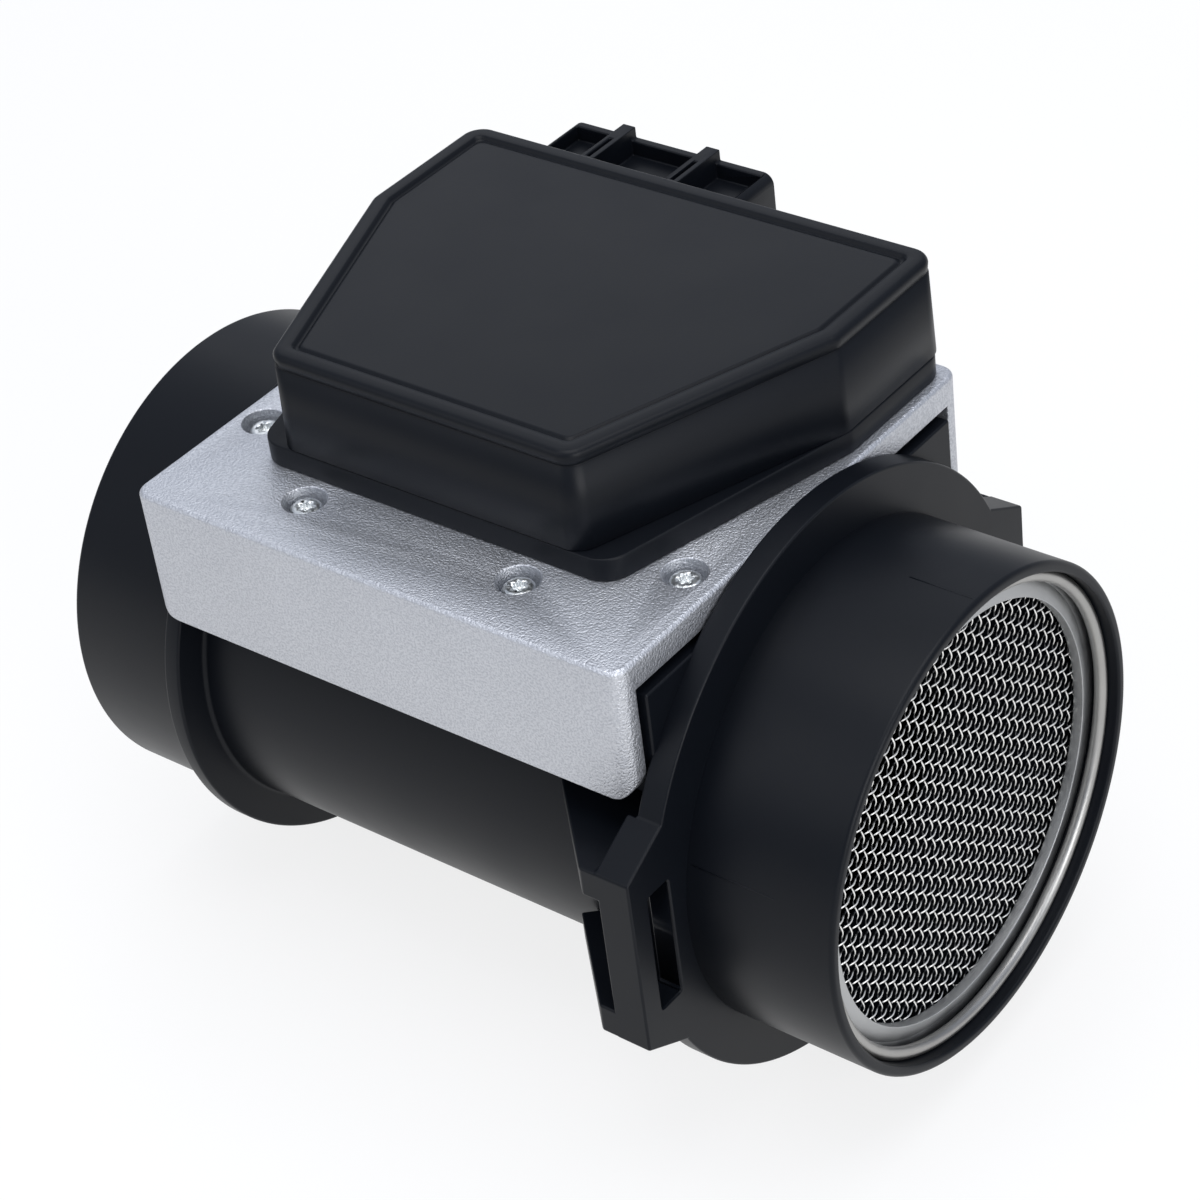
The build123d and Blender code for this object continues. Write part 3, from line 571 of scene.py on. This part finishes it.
# %% [markdown]
# ## Parting lines
# Where two parts of the mould meet, a hair of plastic is left standing. A line could be drawn in the material,
# but a strip of real height catches the light at its edges: it is about 0.2 mm wide and stands 0.05 mm out of
# the sleeve. Each strip lies along X and is turned to its place round the axis.

# %% Parting lines
LINE_HALF, LINE_PROUD, LINE_SINK, LINE_TAPER = 0.11, 0.05, 0.3, 0.3
LINES = ((0.5, 16.0, 165.0), (14.0, 25.6, 88.5))  # from x, to x, degrees from +Y
lines = []
for first, last, angle in LINES:
    side_view = [
        (first, SLEEVE_R - LINE_SINK), (last, SLEEVE_R - LINE_SINK),
        (last - LINE_TAPER, SLEEVE_R + LINE_PROUD), (first + LINE_TAPER, SLEEVE_R + LINE_PROUD),
    ]
    strip = slab("parting_line", [side_view], -LINE_HALF, LINE_HALF, "Z")
    strip.data.transform(Matrix.Rotation(radians(angle), 4, "X"))
    lines.append(strip)
seat_piece(merged("parting_lines", lines), moulded_black, "moulded_black")

# %% [markdown]
# ## Heat sink and socket frame
# Their shapes in the engineering model are already right and only their edges are too keen. A copy of such a
# node has its loose triangles merged and its flats dissolved, and then takes a small mould radius of its own.


# %% Softened copies of two nodes
def softened_copy(node, name, width_mm):
    """Copy of a node's mesh with merged corners, clean flats and rounded edges."""
    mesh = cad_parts[node].data.copy()
    mesh.name = name
    clean_flats(mesh, 2 * FLAT_DEGREES, 2e-6)
    mesh.shade_smooth()
    piece = bpy.data.objects.new(name, mesh)
    scene.collection.objects.link(piece)
    return soften(piece, width_mm)


heat_saddle = softened_copy("heat_sink", "heat_saddle", 0.22)
seat_piece(heat_saddle, cast_aluminium, "cast_aluminium", "heat_sink")
socket_frame = softened_copy("electronics_frame", "socket_frame", 0.3)
seat_piece(socket_frame, moulded_black, "moulded_black", "electronics_frame")

# %% [markdown]
# ## Electronics cover
# The lid has six corners, a rounded bead round its top with a shadow line under it, a groove inside the bead
# and a panel sunk a little. A loft makes all of it: one outline is drawn in by steps while its height changes,
# and each step has the same number of points, so the rings join without a twist.

# %% Electronics cover
BOX_CENTRE, BOX_FRONT, BOX_BACK = -53.6, -28.5, 44.9
BOX_HALF, COVER_FRONT_HALF, COVER_SHOULDER, COVER_CORNER = 47.0, 29.8, 17.0, 4.3
LEDGE_Z, COVER_TOP, TIGHTEST_CORNER = 51.5, 69.0, 1.4


def cover_ring(inset):
    """The lid's outline drawn in by inset, with its corners rounded."""
    outline = [
        Vector((-COVER_FRONT_HALF, BOX_FRONT)), Vector((COVER_FRONT_HALF, BOX_FRONT)),
        Vector((BOX_HALF, COVER_SHOULDER)), Vector((BOX_HALF, BOX_BACK)),
        Vector((-BOX_HALF, BOX_BACK)), Vector((-BOX_HALF, COVER_SHOULDER)),
    ]
    drawn_in = []
    for at, corner in enumerate(outline):
        before = (corner - outline[at - 1]).normalized()
        after = (outline[(at + 1) % 6] - corner).normalized()
        inward = Vector((-before.y, before.x)) + Vector((-after.y, after.x))
        inward.normalize()
        drawn_in.append(corner + inward * inset / inward.dot(Vector((-before.y, before.x))))
    radius = max(COVER_CORNER - inset, TIGHTEST_CORNER)
    return [(BOX_CENTRE + p.x, p.y) for p in rounded([(c.x, c.y, radius) for c in drawn_in], 10)]


def arc_profile(centre_inset, centre_z, radius, first, last, steps):
    """Rings of a rounded bead: (inset, height) along an arc, by angles from straight in to straight up."""
    return [
        (centre_inset - radius * cos(radians(first + (last - first) * s / steps)),
         centre_z + radius * sin(radians(first + (last - first) * s / steps)))
        for s in range(steps + 1)
    ]


# (inset, height) of each ring: inner wall, foot, outer wall, shadow line, bead, crown, groove and panel
cover_profile = (
    [(2.2, 66.5), (2.2, LEDGE_Z), (0.25, LEDGE_Z), (0.02, LEDGE_Z + 0.2), (0.5, 66.1)]
    + [(0.86, 66.25), (0.9, 66.45), (0.62, 66.7)]
    + arc_profile(1.6, 67.8, 1.1, 0, 90, 8)[:-1]
    + [(1.75, 68.93), (2.3, COVER_TOP), (3.3, COVER_TOP - 0.02)]
    + [(3.6, 68.86), (3.75, 68.45), (4.0, 68.22), (4.35, 68.22), (4.55, 68.4), (4.75, 68.56), (5.1, 68.6)]
)
rings = [cover_ring(inset) for inset, _ in cover_profile]
around = len(rings[0])
corners = [(x, y, z) for ring, (_, z) in zip(rings, cover_profile) for x, y in ring]
faces = [
    (ring * around + at, ring * around + (at + 1) % around, (ring + 1) * around + (at + 1) % around,
     (ring + 1) * around + at)
    for ring in range(len(rings) - 1)
    for at in range(around)
]
faces += [tuple(range(around)), tuple(range((len(rings) - 1) * around, len(rings) * around))]
lid = build_mesh("lid", corners, faces)
seat_piece(lid, moulded_black, "moulded_black", "electronics_cover")

# %% [markdown]
# ## Screws
# Six pan heads with a six-lobe recess hold the heat sink, sunk in their counterbores. One head is lofted from
# rings of points: a recess cut by a Boolean would do too, but the loft keeps its six lobes clean and light.

# %% One screw head
HEAD_R, HEAD_Z, SCREW_SEAT, RECESS_R, LOBE, RECESS_DEPTH = 2.6, 46.3, 43.8, 1.15, 0.24, 1.1
SHANK_R, SHANK_LENGTH, HEAD_STEPS = 1.5, 2.0, 60
SCREW_PLACES = [(-75.0, -33.6), (-32.2, -33.6), (-96.0, -20.0), (-11.2, -20.0), (-92.6, 35.0), (-14.6, 35.0)]


def screw_head():
    """Pan head round the origin, its seat at height 0 on a short shank, lofted from (radius, lobe, height)."""
    top = HEAD_Z - SCREW_SEAT
    levels = [(SHANK_R, 0, -SHANK_LENGTH), (SHANK_R, 0, 0.0), (HEAD_R - 0.1, 0, 0.0), (HEAD_R, 0, 0.12)]
    levels += [(HEAD_R, 0, top - 0.6), (HEAD_R - 0.08, 0, top - 0.35), (HEAD_R - 0.25, 0, top - 0.15)]
    levels += [(HEAD_R - 0.55, 0, top)]
    levels += [(RECESS_R + 0.12, LOBE, top), (RECESS_R, LOBE, top - 0.1)]
    levels += [(RECESS_R - 0.05, LOBE, top - RECESS_DEPTH)]
    count = HEAD_STEPS
    corners = [
        ((r + lobe * cos(6 * tau * s / count)) * cos(tau * s / count),
         (r + lobe * cos(6 * tau * s / count)) * sin(tau * s / count), z)
        for r, lobe, z in levels
        for s in range(count)
    ]
    faces = [
        (level * count + s, level * count + (s + 1) % count, (level + 1) * count + (s + 1) % count,
         (level + 1) * count + s)
        for level in range(len(levels) - 1)
        for s in range(count)
    ]
    faces += [tuple(range(count)), tuple(range((len(levels) - 1) * count, len(levels) * count))]
    return build_mesh("screw_head", corners, faces)


head = screw_head()
print("one head has", len(head.data.polygons), "faces")

# %% [markdown]
# ## Setting the screws
# The heads could be copied in a loop, but a geometry tree keeps one head as the pattern and sets it on six bare
# points, each turned by its own amount, because no fitter lines up recesses. Its inputs are set by their
# sockets' identifiers, a fixed seed keeps the turns the same, and the result is realised into one plain mesh.


# %% Geometry tree that sets the screws
def new_tree(name, inputs):
    """Geometry tree with named inputs; returns the tree, its input node and {name: socket identifier}."""
    tree = bpy.data.node_groups.new(name, "GeometryNodeTree")
    tree.interface.new_socket(name="Geometry", in_out="OUTPUT", socket_type="NodeSocketGeometry")
    tree.interface.new_socket(name="Geometry", in_out="INPUT", socket_type="NodeSocketGeometry")
    found = {}
    for label, kind in inputs:
        found[label] = tree.interface.new_socket(name=label, in_out="INPUT", socket_type=kind).identifier
    return tree, add_node(tree, "NodeGroupInput"), found


def plain_result(piece, tree, identifiers, sizes):
    """Run a tree on a piece with its inputs set, and leave only the plain mesh that it makes."""
    modifier = piece.modifiers.new(tree.name, "NODES")
    modifier.node_group = tree
    for label, size in sizes.items():
        modifier[identifiers[label]] = size
    piece.data = finished_mesh(piece)


SCREW_SEED = 7
screw_tree, given, screw_inputs = new_tree(
    "set_screws", [("Head", "NodeSocketObject"), ("Finish", "NodeSocketMaterial"), ("Seed", "NodeSocketInt")]
)
pattern = add_node(screw_tree, "GeometryNodeObjectInfo", links={"Object": given.outputs["Head"]})
turns = add_node(
    screw_tree,
    "FunctionNodeRandomValue",
    settings={"data_type": "FLOAT_VECTOR"},
    values={0: (0.0, 0.0, 0.0), 1: (0.0, 0.0, tau)},
    links={"Seed": given.outputs["Seed"]},
)
placed = add_node(
    screw_tree,
    "GeometryNodeInstanceOnPoints",
    links={
        "Points": given.outputs["Geometry"],
        "Instance": pattern.outputs["Geometry"],
        "Rotation": turns.outputs[0],
    },
)
solid = add_node(screw_tree, "GeometryNodeRealizeInstances", links={"Geometry": placed.outputs["Instances"]})
painted = add_node(
    screw_tree,
    "GeometryNodeSetMaterial",
    links={"Geometry": solid.outputs["Geometry"], "Material": given.outputs["Finish"]},
)
add_node(screw_tree, "NodeGroupOutput", links={"Geometry": painted.outputs["Geometry"]})

point_mesh = bpy.data.meshes.new("screws")
point_mesh.from_pydata([Vector((x, y, SCREW_SEAT)) * MM for x, y in SCREW_PLACES], [], [])
screws = bpy.data.objects.new("screws", point_mesh)
scene.collection.objects.link(screws)
plain_result(screws, screw_tree, screw_inputs, {"Head": head, "Finish": zinc_steel, "Seed": SCREW_SEED})
bpy.data.objects.remove(head)
seat_piece(screws, zinc_steel, "zinc_steel", "heat_sink_screws")

# %% [markdown]
# ## Screen frames and spring rings
# Each screen is clamped by a pressed ring whose face slopes back from its inner edge to a flat rim, and a round
# spring wire snapped into the mouth holds it. Both are turned sections. The spring wire is open by a few
# degrees, so that pliers can close it.

# %% Screen frames and spring rings
SCREEN_R, OPENING_R, CREST_R = 40.0, 35.0, 37.9
MESH_THICK, FRAME_WALL, CREST, FALL = 0.9, 1.7, 2.8, 1.1
WIRE_R, WIRE_RING_R, WIRE_SETBACK, WIRE_GAP = 1.1, 39.0, 2.8, 12.0  # the gap is in degrees
WIRE_SIDES, WIRE_STEPS = 16, 240

for end, shoulder, mouth, way in (
    ("inlet", INLET_SHOULDER, INLET_MOUTH, 1),
    ("outlet", OUTLET_SHOULDER, OUTLET_MOUTH, -1),
):
    clamp_section = rounded([
        (shoulder + way * MESH_THICK, OPENING_R, 0.15),
        (shoulder + way * MESH_THICK, SCREEN_R, 0.15),
        (shoulder + way * FRAME_WALL, SCREEN_R, 0.3),
        (shoulder + way * (CREST - FALL), CREST_R, 0.2),
        (shoulder + way * CREST, OPENING_R, 0.1),
    ])
    clamp = turned(f"{end}_screen_clamp", clamp_section)
    seat_piece(clamp, pressed_steel, "pressed_steel", f"{end}_screen_frame")
    wire_section = [
        (mouth - way * WIRE_SETBACK + WIRE_R * cos(tau * s / WIRE_SIDES),
         WIRE_RING_R + WIRE_R * sin(tau * s / WIRE_SIDES))
        for s in range(WIRE_SIDES)
    ]
    spring = turned(f"{end}_spring_ring", wire_section, WIRE_STEPS, pi, radians(360 - WIRE_GAP))
    soften(spring, 0.15, segments=2, sharpest=60.0)
    seat_piece(spring, spring_wire, "spring_wire", f"{end}_retaining_ring")

# %% [markdown]
# ## Woven screens
# A plain weave passes each wire over and under its neighbours. Along a wire the height is a cosine whose sign
# flips from one wire to the next, so one formula makes both sets: the second set is the first turned a quarter,
# with its heights reversed. The tree draws the wires as curves, crimps them, trims them to the circle, gives
# them thickness and turns the cloth to face the air stream.

# %% Geometry tree for the weave
WANDER_MM = 9.0  # size of the slow noise that pushes wires a little off straight
weave_tree, given, weave_inputs = new_tree(
    "woven_wire",
    [
        ("Wires", "NodeSocketInt"), ("Pitch", "NodeSocketFloat"), ("Wire radius", "NodeSocketFloat"),
        ("Crimp", "NodeSocketFloat"), ("Cut radius", "NodeSocketFloat"), ("Turn", "NodeSocketFloat"),
        ("Plane", "NodeSocketFloat"), ("Points", "NodeSocketInt"), ("Unevenness", "NodeSocketFloat"),
        ("Outward", "NodeSocketFloat"), ("Finish", "NodeSocketMaterial"),
    ],
)


def maths(operation, first, second=None):
    """Socket of a maths node on sockets or plain numbers."""
    node = add_node(weave_tree, "ShaderNodeMath", settings={"operation": operation})
    for at, term in enumerate((first, second)):
        if isinstance(term, (int, float)):
            node.inputs[at].default_value = term
        elif term is not None:
            weave_tree.links.new(term, node.inputs[at])
    return node.outputs[0]


def vector(x=0.0, y=0.0, z=0.0):
    """Socket of a vector made from sockets or plain numbers."""
    node = add_node(weave_tree, "ShaderNodeCombineXYZ")
    for at, term in enumerate((x, y, z)):
        if isinstance(term, (int, float)):
            node.inputs[at].default_value = term
        else:
            weave_tree.links.new(term, node.inputs[at])
    return node.outputs[0]


pitch, cut = given.outputs["Pitch"], given.outputs["Cut radius"]
first_x = maths("MULTIPLY", maths("MULTIPLY", maths("SUBTRACT", given.outputs["Wires"], 1), pitch), -0.5)
row = add_node(
    weave_tree,
    "GeometryNodeMeshLine",
    links={"Count": given.outputs["Wires"], "Start Location": vector(x=first_x), "Offset": vector(x=pitch)},
)
wire = add_node(
    weave_tree,
    "GeometryNodeCurvePrimitiveLine",
    links={"Start": vector(y=maths("MULTIPLY", cut, -1)), "End": vector(y=cut)},
)
wire = add_node(
    weave_tree,
    "GeometryNodeResampleCurve",
    links={"Curve": wire.outputs["Curve"], "Count": given.outputs["Points"]},
)
row = add_node(
    weave_tree,
    "GeometryNodeInstanceOnPoints",
    links={"Points": row.outputs["Mesh"], "Instance": wire.outputs["Curve"]},
)
row = add_node(weave_tree, "GeometryNodeRealizeInstances", links={"Geometry": row.outputs["Instances"]})


def crimped(rows, way):
    """The wires of one set, pressed over and under and cut to the circle."""
    spot = add_node(weave_tree, "GeometryNodeInputPosition").outputs["Position"]
    split = add_node(weave_tree, "ShaderNodeSeparateXYZ", links={"Vector": spot})
    beat = maths("DIVIDE", maths("ADD", split.outputs["X"], split.outputs["Y"]), pitch)
    rise = maths("COSINE", maths("MULTIPLY", beat, pi))
    facing = maths("MULTIPLY", maths("MULTIPLY", rise, way), given.outputs["Outward"])
    # The finish reads this rise and paints shade into the dips that turn away from the outside.
    marked = add_node(
        weave_tree,
        "GeometryNodeStoreNamedAttribute",
        settings={"data_type": "FLOAT", "domain": "POINT"},
        values={"Name": "outward_rise"},
        links={"Geometry": rows, "Value": facing},
    )
    height = maths("MULTIPLY", rise, given.outputs["Crimp"])
    wander = add_node(
        weave_tree,
        "ShaderNodeTexNoise",
        values={"Scale": 1 / (WANDER_MM * MM), "Detail": 1.0},
        links={"Vector": spot},
    )
    drift = add_node(
        weave_tree,
        "ShaderNodeVectorMath",
        settings={"operation": "SUBTRACT"},
        values={1: (0.5, 0.5, 0.5)},
        links={0: wander.outputs["Color"]},
    )
    drift = add_node(
        weave_tree,
        "ShaderNodeVectorMath",
        settings={"operation": "SCALE"},
        links={0: drift.outputs["Vector"], "Scale": given.outputs["Unevenness"]},
    )
    shift = add_node(
        weave_tree,
        "ShaderNodeVectorMath",
        settings={"operation": "ADD"},
        links={0: vector(z=maths("MULTIPLY", height, way)), 1: drift.outputs["Vector"]},
    )
    pressed = add_node(
        weave_tree,
        "GeometryNodeSetPosition",
        links={"Geometry": marked.outputs["Geometry"], "Offset": shift.outputs["Vector"]},
    )
    reach = add_node(
        weave_tree,
        "ShaderNodeVectorMath",
        settings={"operation": "LENGTH"},
        links={0: add_node(weave_tree, "GeometryNodeInputPosition").outputs["Position"]},
    )
    outside = maths("GREATER_THAN", reach.outputs["Value"], cut)
    trimmed = add_node(
        weave_tree,
        "GeometryNodeDeleteGeometry",
        settings={"domain": "POINT"},
        links={"Geometry": pressed.outputs["Geometry"], "Selection": outside},
    )
    return trimmed.outputs["Geometry"]


across = add_node(
    weave_tree,
    "GeometryNodeTransform",
    values={"Rotation": (0, 0, pi / 2)},
    links={"Geometry": row.outputs["Geometry"]},
)
both = add_node(weave_tree, "GeometryNodeJoinGeometry")
for strands in (crimped(row.outputs["Geometry"], 1.0), crimped(across.outputs["Geometry"], -1.0)):
    weave_tree.links.new(strands, both.inputs["Geometry"])
round_wire = add_node(
    weave_tree,
    "GeometryNodeCurvePrimitiveCircle",
    values={"Resolution": 6},  # six sides keep the cloth light, and the wire is only about two pixels thick
    links={"Radius": given.outputs["Wire radius"]},
)
cloth = add_node(
    weave_tree,
    "GeometryNodeCurveToMesh",
    values={"Fill Caps": True},
    links={"Curve": both.outputs["Geometry"], "Profile Curve": round_wire.outputs["Curve"]},
)
cloth = add_node(
    weave_tree,
    "GeometryNodeTransform",
    links={"Geometry": cloth.outputs["Mesh"], "Rotation": vector(z=given.outputs["Turn"])},
)
# A quarter turn about X and then about Z takes the cloth's face from +Z to +X
cloth = add_node(
    weave_tree,
    "GeometryNodeTransform",
    values={"Rotation": (pi / 2, 0, pi / 2)},
    links={"Geometry": cloth.outputs["Geometry"], "Translation": vector(x=given.outputs["Plane"])},
)
smooth = add_node(weave_tree, "GeometryNodeSetShadeSmooth", links={"Geometry": cloth.outputs["Geometry"]})
solid = add_node(weave_tree, "GeometryNodeRealizeInstances", links={"Geometry": smooth.outputs["Geometry"]})
painted = add_node(
    weave_tree,
    "GeometryNodeSetMaterial",
    links={"Geometry": solid.outputs["Geometry"], "Material": given.outputs["Finish"]},
)
add_node(weave_tree, "NodeGroupOutput", links={"Geometry": painted.outputs["Geometry"]})
print("weave tree nodes:", len(weave_tree.nodes))

# %% [markdown]
# ## Cutting the two screens
# Both screens are the same cloth: wire 0.3 mm thick, at 2.08 mm from wire to wire. The second could be a turned
# copy of the first, but the tree makes each in its own place. Only the plane differs between them, and the side
# that faces out, which tells the finish which crests stay bright and which dips get painted shade.

# %% The two screens
WEAVE_PITCH, WEAVE_WIRE_R, WEAVE_CRIMP, WEAVE_CUT_R = 2.08, 0.15, 0.28, 36.0
WEAVE_TURN = 5.2  # degrees; a blank is stamped from the roll without lining it up
WEAVE_SET_IN, WEAVE_UNEVENNESS, POINTS_PER_PITCH = 0.5, 0.25, 6
weave_count = 2 * int(WEAVE_CUT_R / WEAVE_PITCH) + 1
for end, plane, outward in (
    ("inlet", INLET_SHOULDER + WEAVE_SET_IN, 1.0),
    ("outlet", OUTLET_SHOULDER - WEAVE_SET_IN, -1.0),
):
    cloth_mesh = bpy.data.meshes.new(f"{end}_wire_cloth")
    wire_cloth = bpy.data.objects.new(f"{end}_wire_cloth", cloth_mesh)
    scene.collection.objects.link(wire_cloth)
    plain_result(wire_cloth, weave_tree, weave_inputs, {
        "Wires": weave_count,
        "Pitch": WEAVE_PITCH * MM,
        "Wire radius": WEAVE_WIRE_R * MM,
        "Crimp": WEAVE_CRIMP * MM,
        "Cut radius": WEAVE_CUT_R * MM,
        "Turn": radians(WEAVE_TURN),
        "Plane": plane * MM,
        "Points": int(2 * WEAVE_CUT_R / WEAVE_PITCH * POINTS_PER_PITCH),
        "Unevenness": WEAVE_UNEVENNESS * MM,
        "Outward": outward,
        "Finish": mesh_steel,
    })
    seat_piece(wire_cloth, mesh_steel, "mesh_steel", f"{end}_screen")

# %% [markdown]
# ## Pieces kept from the engineering model
# The sensor in the air stream and everything sealed in the box keep their engineering shapes. Each takes the
# finish of its own stuff.

# %% Finishes of the kept nodes
KEPT = {
    ring_black: ["sensor_ring", "lead_carrier"],
    seal_rubber: ["heat_sink_gasket", "frame_seal"],
    tinned_blade: ["connector_pins", "pin_links", "sensor_leads"],
    ceramic_board: ["circuit_board", "temperature_sensor", "precision_resistor"],
    chip_black: ["control_chip", "power_transistor", "chip_resistors"],
    capacitor_tan: ["capacitors"],
    platinum: ["hot_wire", "wire_hooks"],
}
for finish, names in KEPT.items():
    for name in names:
        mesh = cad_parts[name].data
        mesh.materials.clear()
        mesh.materials.append(finish)
print("kept nodes:", sum(len(names) for names in KEPT.values()))

# %% [markdown]
# ## Floor
# The meter rests on its large flange on a pale floor. A floor could be lit until it turns white, but that would
# flood the object too. Instead a share of it shines by itself, only to the camera, in reflections and through
# glass, and the rest is plain paper that keeps the shadow.

# %% Floor
FLOOR_HALF, FLOOR_GLOW = 3000.0, 0.8
floor_z = -INLET_FLANGE_R
floor = build_mesh(
    "floor",
    [(x * FLOOR_HALF, y * FLOOR_HALF, floor_z) for x, y in ((-1, -1), (1, -1), (1, 1), (-1, 1))],
    [(0, 1, 2, 3)],
)
floor_paint = bpy.data.materials.new("floor_paper")
floor_paint.use_nodes = True
tree = floor_paint.node_tree
tree.nodes.clear()
paper = add_node(tree, "ShaderNodeBsdfDiffuse", values={"Color": srgb("#f4f4f4")})
glow = add_node(tree, "ShaderNodeEmission", values={"Color": srgb("#ffffff"), "Strength": 1.0})
path = add_node(tree, "ShaderNodeLightPath")
seen = add_node(
    tree,
    "ShaderNodeMath",
    settings={"operation": "MAXIMUM"},
    links={0: path.outputs["Is Camera Ray"], 1: path.outputs["Is Glossy Ray"]},
)
seen = add_node(
    tree,
    "ShaderNodeMath",
    settings={"operation": "MAXIMUM"},
    links={0: seen.outputs[0], 1: path.outputs["Is Transmission Ray"]},
)
share = add_node(
    tree,
    "ShaderNodeMath",
    settings={"operation": "MULTIPLY"},
    values={1: FLOOR_GLOW},
    links={0: seen.outputs[0]},
)
mixed = add_node(
    tree,
    "ShaderNodeMixShader",
    links={0: share.outputs[0], 1: paper.outputs["BSDF"], 2: glow.outputs["Emission"]},
)
add_node(tree, "ShaderNodeOutputMaterial", links={"Surface": mixed.outputs["Shader"]})
floor.data.materials.append(floor_paint)
print("floor at", floor_z, "mm")

# %% [markdown]
# ## Lamps and sky
# Four broad soft lamps: one behind lays a sheen along the tops, one at the camera's left models the front, one
# lights the inlet's screen and one hangs overhead. The sky is a cool grey that dims towards the horizon, so
# that the black sides stay dark, and only the camera sees it at full strength.


# %% Lamps and sky
LAMP_AIM = Vector((-50.0, 0.0, 10.0))


def add_lamp(name, place, size, watts):
    """Square soft lamp at a place in millimetres, pointed at the middle of the meter."""
    data = bpy.data.lights.new(name, "AREA")
    data.shape = "SQUARE"
    data.size = size * MM
    data.energy = watts
    lamp = bpy.data.objects.new(name, data)
    scene.collection.objects.link(lamp)
    lamp.location = Vector(place) * MM
    lamp.rotation_euler = (Vector(place) - LAMP_AIM).to_track_quat("Z", "Y").to_euler()


add_lamp("back_sheen", (-520, 560, 620), 620, 0.8)
add_lamp("front_left", (-350, -620, 520), 500, 1.0)
add_lamp("mouth_fill", (620, -260, 260), 420, 2.6)
add_lamp("top_soft", (60, -40, 900), 700, 4.5)

SKY_BY_HEIGHT = {"From Min": 0.0, "From Max": 0.8, "To Min": 0.42, "To Max": 0.72}
world = bpy.data.worlds.new("sky")
scene.world = world
world.use_nodes = True
world.node_tree.nodes.clear()
facing = add_node(world.node_tree, "ShaderNodeTexCoord").outputs["Generated"]
height = add_node(world.node_tree, "ShaderNodeSeparateXYZ", links={"Vector": facing}).outputs["Z"]
level = add_node(
    world.node_tree,
    "ShaderNodeMapRange",
    settings={"interpolation_type": "SMOOTHSTEP"},
    values=SKY_BY_HEIGHT,
    links={"Value": height},
)
path = add_node(world.node_tree, "ShaderNodeLightPath")
level = add_node(
    world.node_tree,
    "ShaderNodeMath",
    settings={"operation": "MAXIMUM"},
    links={0: level.outputs["Result"], 1: path.outputs["Is Camera Ray"]},
)
sky = add_node(
    world.node_tree,
    "ShaderNodeBackground",
    values={"Color": srgb("#e4ecfc")},
    links={"Strength": level.outputs[0]},
)
add_node(world.node_tree, "ShaderNodeOutputWorld", links={"Surface": sky.outputs["Background"]})
print("lamps:", len(bpy.data.lights))
